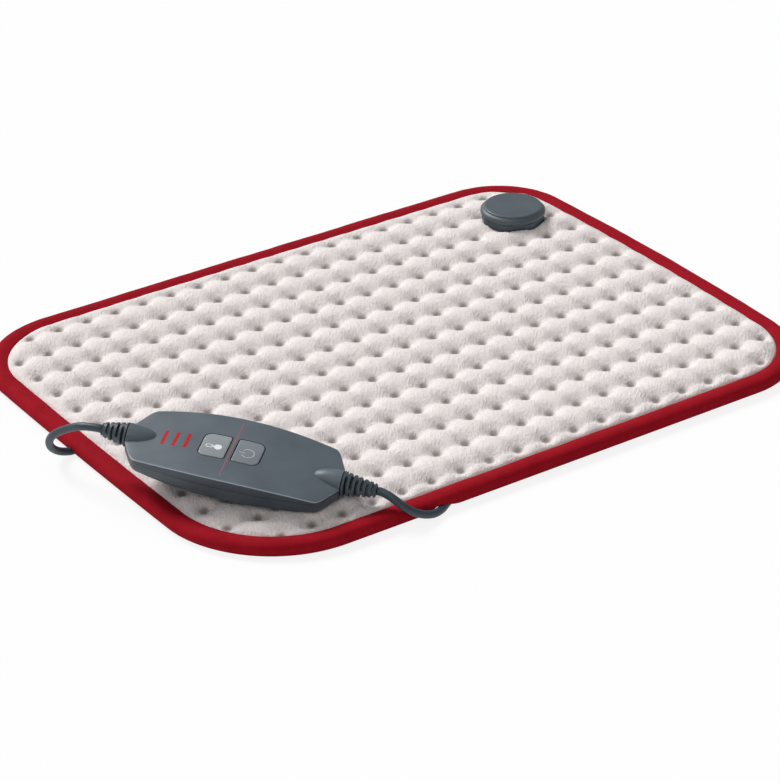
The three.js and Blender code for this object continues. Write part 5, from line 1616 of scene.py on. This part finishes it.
def quilt(x, y):
    """Height of the quilted fleece, and how much painted shade darkens a point near a weld's pit, from 0 to
    1.
    """
    dx, dy = weld_offsets(x - PIT_LEAN[0], y - PIT_LEAN[1])
    away = np.hypot(dx, dy)
    pit = (1 - np.clip((away - WELD_RADIUS) / (PIT_RADIUS - WELD_RADIUS), 0, 1)) ** PIT_SHARE
    row = 1 - np.abs(np.sin(np.pi * dy / WELD_PITCH_Y)) ** CREASE_SHARE
    column = 1 - np.abs(np.sin(np.pi * dx / WELD_PITCH_X)) ** CREASE_SHARE
    crease = ROW_CREASE_DEPTH * row + COLUMN_CREASE_DEPTH * column
    height = CROWN_HEIGHT + CROWN_LIFT - PIT_DEPTH * pit - crease * (1 - pit)
    dark = np.hypot(dx - PIT_SHADE_LEAN[0], dy - PIT_SHADE_LEAN[1])
    return height, 1 - smooth_step(dark, PIT_SHADE_RADIUS, PIT_SHADE_REACH)


def clouds_at(x, y, clouds):
    """Smooth noise over the pad, from (height, size of a blob, seed) in millimetres."""
    total = np.zeros(x.shape)
    for height, size, seed in clouds:
        flat = [noise.noise(Vector((a / size, b / size, seed))) for a, b in zip(x.ravel(), y.ravel())]
        total += height * np.array(flat).reshape(x.shape)
    return total


def octagon_distance(x, y):
    """Distance outside the coupling's octagonal base; negative inside it."""
    apothem = COUPLING_RADIUS * math.cos(OCTAGON_STEP / 2)
    reach = [
        (x - COUPLING_X) * math.cos(angle) + (y - COUPLING_Y) * math.sin(angle) - apothem
        for angle in COUPLING_TURN + OCTAGON_STEP / 2 + np.arange(0, 2 * math.pi, OCTAGON_STEP)
    ]
    return np.max(reach, 0)


FLEECE_INSET = 8.8
FLEECE_PITCH = 1.35
FLEECE_EDGE_Z = 8.3
FLEECE_TUCK_Z = 6.4
FLEECE_LOW_Z = 5.9
SHOULDER_WIDTH = 12
SHOULDER_SHARE = 0.9
SEAT_MARGIN = -0.7
SEAT_SLOPE = 2.6
SEAT_SWELL = 0.5
SIDE_SWELL = 1.3
SEAT_SWELL_REACH = 8
WADDING_GAP = 0.4
RAY_START_Z = 60
FLEECE_RIM_STEPS = (0.8,) * 8
FLEECE_CLOUDS = ((0.45, 60, 1), (0.22, 7, 2), (0.12, 2.6, 3))
SHOULDER_GAP = 0.6
TUCK_REACH = 0.9
SIDE_SWELL_POWER = 4
STEM_CLEAR = 0.8
PIT_SHADE_SHARE = 0.9


def surface_heights(points, polygons, x, y, start_z, way):
    """Heights in millimetres where upright rays meet a mesh; not a number where they miss it."""
    tree = BVHTree.FromPolygons(points, [tuple(polygon.vertices) for polygon in polygons])
    heights = np.full(x.size, np.nan)
    for k, (a, b) in enumerate(zip(x.ravel(), y.ravel())):
        hit = tree.ray_cast(place(a, b, start_z), Vector((0, 0, way)))[0]
        if hit is not None:
            heights[k] = hit.z / MM
    return heights.reshape(x.shape)


def held_between(x, y, z):
    """Holds the fleece above the wadding that it covers and under the housing that rests on it."""
    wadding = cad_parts["upper_wadding"]
    points = [wadding.matrix_world @ v.co for v in wadding.data.vertices]
    wadding_top = surface_heights(points, wadding.data.polygons, x, y, RAY_START_Z, -1)
    housing = lower_housing.data
    belly = surface_heights([v.co for v in housing.vertices], housing.polygons, x, y, 0, 1)
    return np.fmin(np.fmax(z, wadding_top + WADDING_GAP), belly - MEET_GAP)


def clear_of_stem(points, faces, clearance):
    """The faces that leave a hole round the coupling's stem."""
    centre = points[faces].mean(1)
    return faces[np.hypot(centre[:, 0] - COUPLING_X, centre[:, 1] - COUPLING_Y) > STEM_RADIUS + clearance]


def make_fleece():
    plan, inset = rounded_grid(FLEECE_INSET, FLEECE_PITCH, FLEECE_RIM_STEPS)
    x, y = plan[..., 0], plan[..., 1]
    z, core = quilt(x, y)
    z += clouds_at(x, y, FLEECE_CLOUDS)
    t = np.clip((inset - BINDING_WIDTH - SHOULDER_GAP) / SHOULDER_WIDTH, 0, 1)
    z = FLEECE_EDGE_Z + (z - FLEECE_EDGE_Z) * (1 - (1 - t) ** 2) ** SHOULDER_SHARE
    tuck = smooth_step(inset, BINDING_WIDTH - TUCK_REACH, BINDING_WIDTH + TUCK_REACH)
    z = FLEECE_TUCK_Z + (z - FLEECE_TUCK_Z) * tuck
    around = octagon_distance(x, y)
    away = np.hypot(x - COUPLING_X, y - COUPLING_Y)
    beside = np.clip((COUPLING_X - x) / away, 0, 1) ** SIDE_SWELL_POWER
    z += (SEAT_SWELL + SIDE_SWELL * beside) * np.exp(-((around / SEAT_SWELL_REACH) ** 2))
    pressed = smooth_step(around, SEAT_MARGIN, SEAT_MARGIN + SEAT_SLOPE)
    seat = COUPLING_SEAT_Z - TRIM_GAP
    z = held_between(x, y, seat + (z - seat) * pressed)
    points = np.stack([x, y, z], -1).reshape(-1, 3)
    faces = clear_of_stem(points, np.array(grid_faces(*z.shape)), STEM_CLEAR)
    piece = add_mesh("fleece_cover", points, faces, "fleece")
    close_below(piece, FLEECE_LOW_Z)
    # Painted shade in the pits, for the fleece material to read
    pit = np.zeros(len(piece.data.vertices))
    pit[: core.size] = PIT_SHADE_SHARE * core.ravel()
    mark(piece.data, "pit", pit)
    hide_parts("top_cover")
    return piece


def close_below(piece, low):
    """Closes a sheet to a body: its rims go down to a level and a flat underside joins them."""
    work = bmesh.new()
    work.from_mesh(piece.data)
    loose = [v for v in work.verts if not v.link_faces]
    rim = [edge for edge in work.edges if edge.is_boundary]
    made = bmesh.ops.extrude_edge_only(work, edges=rim)["geom"]
    for vert in (g for g in made if isinstance(g, bmesh.types.BMVert)):
        vert.co.z = low * MM
    lower = [edge for edge in work.edges if edge.is_boundary]
    bmesh.ops.triangle_fill(work, edges=lower, use_beauty=False)
    for vert in loose:
        vert.co.z = low * MM
    work.to_mesh(piece.data)
    work.free()
    piece.data.shade_smooth()


BINDING_ROUND_STEPS = 12
BINDING_PUFF = 1.2
BINDING_BULGE = 0.6
BINDING_FLAT = 2
BINDING_ROUND = 0.5
BINDING_ROUND_Z = 0.05
# How far out from the tape's inner edge, and how far above its plain height
BINDING_FOLD = ((0.35, 0), (1.1, 0.35), (1.9, 0.4), (3.2, BINDING_PUFF - 0.2))
BINDING_CROWN = (1.4, 0.1)
BINDING_CLOUDS = ((0.28, 34, 5), (0.16, 9, 6))
BINDING_PUFF_SPAN = (3.5, 7.5)
BINDING_ARCH = (0.5, 7)
BINDING_ARCH_TOP = 5.6
UNDER_SHARE = 0.7
LEAD_UNDER_Z = 3.4
LEAST_SQUARE = 1e-9


def binding_section():
    """Section of the folded tape as (inset, height), round outside, hollow for the covers' edges."""
    top = BINDING_HEIGHT + BINDING_PUFF
    half = top / 2
    inner = BINDING_WIDTH
    lip = BINDING_LIP
    slot = inner - BINDING_SLOT
    turns = [math.pi / 2 + math.pi * step / BINDING_ROUND_STEPS for step in range(BINDING_ROUND_STEPS + 1)]
    bulge = half + BINDING_BULGE
    section = [(half + bulge * math.cos(turn), half + half * math.sin(turn)) for turn in turns]
    section += [(half + BINDING_FLAT, 0), (inner - BINDING_FLAT, 0)]
    section += [(inner - BINDING_ROUND, BINDING_ROUND_Z), (inner, lip / 2), (inner - BINDING_ROUND, lip)]
    section += [(slot, lip), (slot, BINDING_HEIGHT - lip)]
    section += [(inner - BINDING_ROUND, BINDING_HEIGHT - lip), (inner, BINDING_HEIGHT - lip / 2)]
    section += [(inner - out, BINDING_HEIGHT + up) for out, up in BINDING_FOLD]
    section.append((half + BINDING_CROWN[0], top + BINDING_CROWN[1]))
    return section


def lead_arch(x, y, clearance, half_width):
    """Height that cloth keeps over the leads beneath it, and zero away from them."""
    arch = np.zeros(x.shape)
    for route in (pad_lead_path, mains_lead_path):
        low = np.array([point for point in route if point[2] < LEAD_UNDER_Z])
        nearest = np.full(x.shape, np.inf)
        level = np.zeros(x.shape)
        for a, b in zip(low, low[1:]):
            span = (b - a)[:2]
            t = np.clip(((x - a[0]) * span[0] + (y - a[1]) * span[1]) / max(span @ span, LEAST_SQUARE), 0, 1)
            distance = np.hypot(x - a[0] - t * span[0], y - a[1] - t * span[1])
            closer = distance < nearest
            nearest = np.where(closer, distance, nearest)
            level = np.where(closer, a[2] + t * (b - a)[2], level)
        beside = 0.5 + 0.5 * np.cos(np.pi * np.clip(nearest / half_width, 0, 1))
        arch = np.maximum(arch, (level + LEAD_RADIUS + clearance) * beside)
    return arch


def make_binding():
    section = binding_section()
    plans = np.stack([pad_outline(inset) for inset, _ in section], 1)
    x, y = plans[..., 0], plans[..., 1]
    z = np.broadcast_to([float(height) for _, height in section], x.shape).copy()
    z += clouds_at(x, y, BINDING_CLOUDS) * smooth_step(z, *BINDING_PUFF_SPAN)
    arch = np.minimum(lead_arch(x, y, *BINDING_ARCH), BINDING_ARCH_TOP)
    z = np.where(z < BINDING_HEIGHT * UNDER_SHARE, np.maximum(z, arch), z)
    faces = grid_faces(*z.shape, closed_rows=True, closed_columns=True)
    piece = add_mesh("red_binding", np.stack([x, y, z], -1).reshape(-1, 3), faces, "binding")
    crisp(piece.data, NO_CREASE)
    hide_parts("edge_binding")
    return piece


LINING_INSET = 7
LINING_PITCH = 2.6
LINING_Z = 0.9
LINING_THICKNESS = 1.1
LINING_WELD_RISE = 0.7
LINING_WELD_SPREAD = 4
LINING_CLOUDS = ((0.12, 12, 8),)
LINING_RIM_Z = 1.3
LINING_RIM_WIDTH = 6
LINING_ARCH = (0.4, 7.5)
LINING_PLATE_Z = 1.4
LINING_PLATE_SPAN = (19, 24)
LINING_STEM_CLEAR = 1.4


def make_lining():
    """Lower cover of the pad, lifted over the leads that pass beneath it."""
    plan, inset = rounded_grid(LINING_INSET, LINING_PITCH)
    x, y = plan[..., 0], plan[..., 1]
    dx, dy = weld_offsets(x, y)
    weld = np.exp(-(dx**2 + dy**2) / (2 * LINING_WELD_SPREAD**2))
    z = LINING_Z + LINING_WELD_RISE * weld + clouds_at(x, y, LINING_CLOUDS)
    middle = smooth_step(inset, BINDING_WIDTH, BINDING_WIDTH + LINING_RIM_WIDTH)
    z = LINING_RIM_Z + (z - LINING_RIM_Z) * middle
    away = np.hypot(x - COUPLING_X, y - COUPLING_Y)
    plate = LINING_PLATE_Z * (1 - smooth_step(away, *LINING_PLATE_SPAN))
    z = np.maximum(np.maximum(z, lead_arch(x, y, *LINING_ARCH)), plate)
    lower = np.stack([x, y, z], -1).reshape(-1, 3)
    upper = lower + np.array((0, 0, LINING_THICKNESS))
    faces = clear_of_stem(lower, np.array(grid_faces(*z.shape)), LINING_STEM_CLEAR)
    total = len(lower)
    edges = [(a, b) for face in faces.tolist() for a, b in zip(face, face[1:] + face[:1])]
    shared = set(edges)
    sides = [(a, b, b + total, a + total) for a, b in edges if (b, a) not in shared]
    faces = [*faces[:, ::-1].tolist(), *(faces + total).tolist(), *sides]
    piece = add_mesh("lining_cover", np.concatenate([lower, upper]), faces, "lining")
    crisp(piece.data, NO_CREASE)
    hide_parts("bottom_cover")
    return piece


make_fleece()
make_binding()
make_lining()


# Floor, light and colour management
FLOOR_REACH = 6
FLOOR_GLOW_SHARE = 0.85
WORLD_STRENGTH = 0.3
# Name, strength, spread in degrees, and where it stands
SUNS = (("key", 2.8, 22, (-0.2, 1.0, 1.02)), ("fill", 0.4, 30, (-0.6, -0.39, 0.69)))


def make_floor():
    surface = Surface("floor", 0.9)
    surface.set(Base_Color=linear(0xF6F6F6), Specular_IOR_Level=0.1)
    glow = surface.add("ShaderNodeEmission")
    path = surface.add("ShaderNodeLightPath")
    seen = surface.joined(path.outputs["Is Camera Ray"], path.outputs["Is Glossy Ray"], "MAXIMUM")
    share = surface.joined(seen, FLOOR_GLOW_SHARE, "MULTIPLY")
    both = surface.add("ShaderNodeMixShader")
    surface.join(share, both.inputs[0])
    surface.join(surface.shader.outputs[0], both.inputs[1])
    surface.join(glow.outputs[0], both.inputs[2])
    surface.join(both.outputs[0], surface.output.inputs[0])
    corners = [(x * FLOOR_REACH, y * FLOOR_REACH, 0) for x, y in SQUARE]
    floor = new_object("floor", new_mesh("floor", corners, [(0, 1, 2, 3)]))
    floor.data.materials.append(surface.material)


def make_world():
    """Even light on the object, and pure white where the camera sees past it."""
    world = bpy.data.worlds.new("studio")
    world.use_nodes = True
    nodes = world.node_tree.nodes
    links = world.node_tree.links
    nodes.clear()
    both = nodes.new("ShaderNodeMixShader")
    links.new(nodes.new("ShaderNodeLightPath").outputs["Is Camera Ray"], both.inputs[0])
    for socket, strength in zip(both.inputs[1:], (WORLD_STRENGTH, 1)):
        light = nodes.new("ShaderNodeBackground")
        light.inputs["Color"].default_value = (1, 1, 1, 1)
        light.inputs["Strength"].default_value = strength
        links.new(light.outputs[0], socket)
    links.new(both.outputs[0], nodes.new("ShaderNodeOutputWorld").inputs[0])
    bpy.context.scene.world = world


def make_sun(name, energy, spread, towards):
    data = bpy.data.lights.new(name, "SUN")
    data.energy = energy
    data.angle = math.radians(spread)
    new_object(name, data).matrix_world = Vector(towards).to_track_quat("Z", "Y").to_matrix().to_4x4()


make_floor()
make_world()
for sun in SUNS:
    make_sun(*sun)
bpy.context.scene.view_settings.view_transform = "Standard"
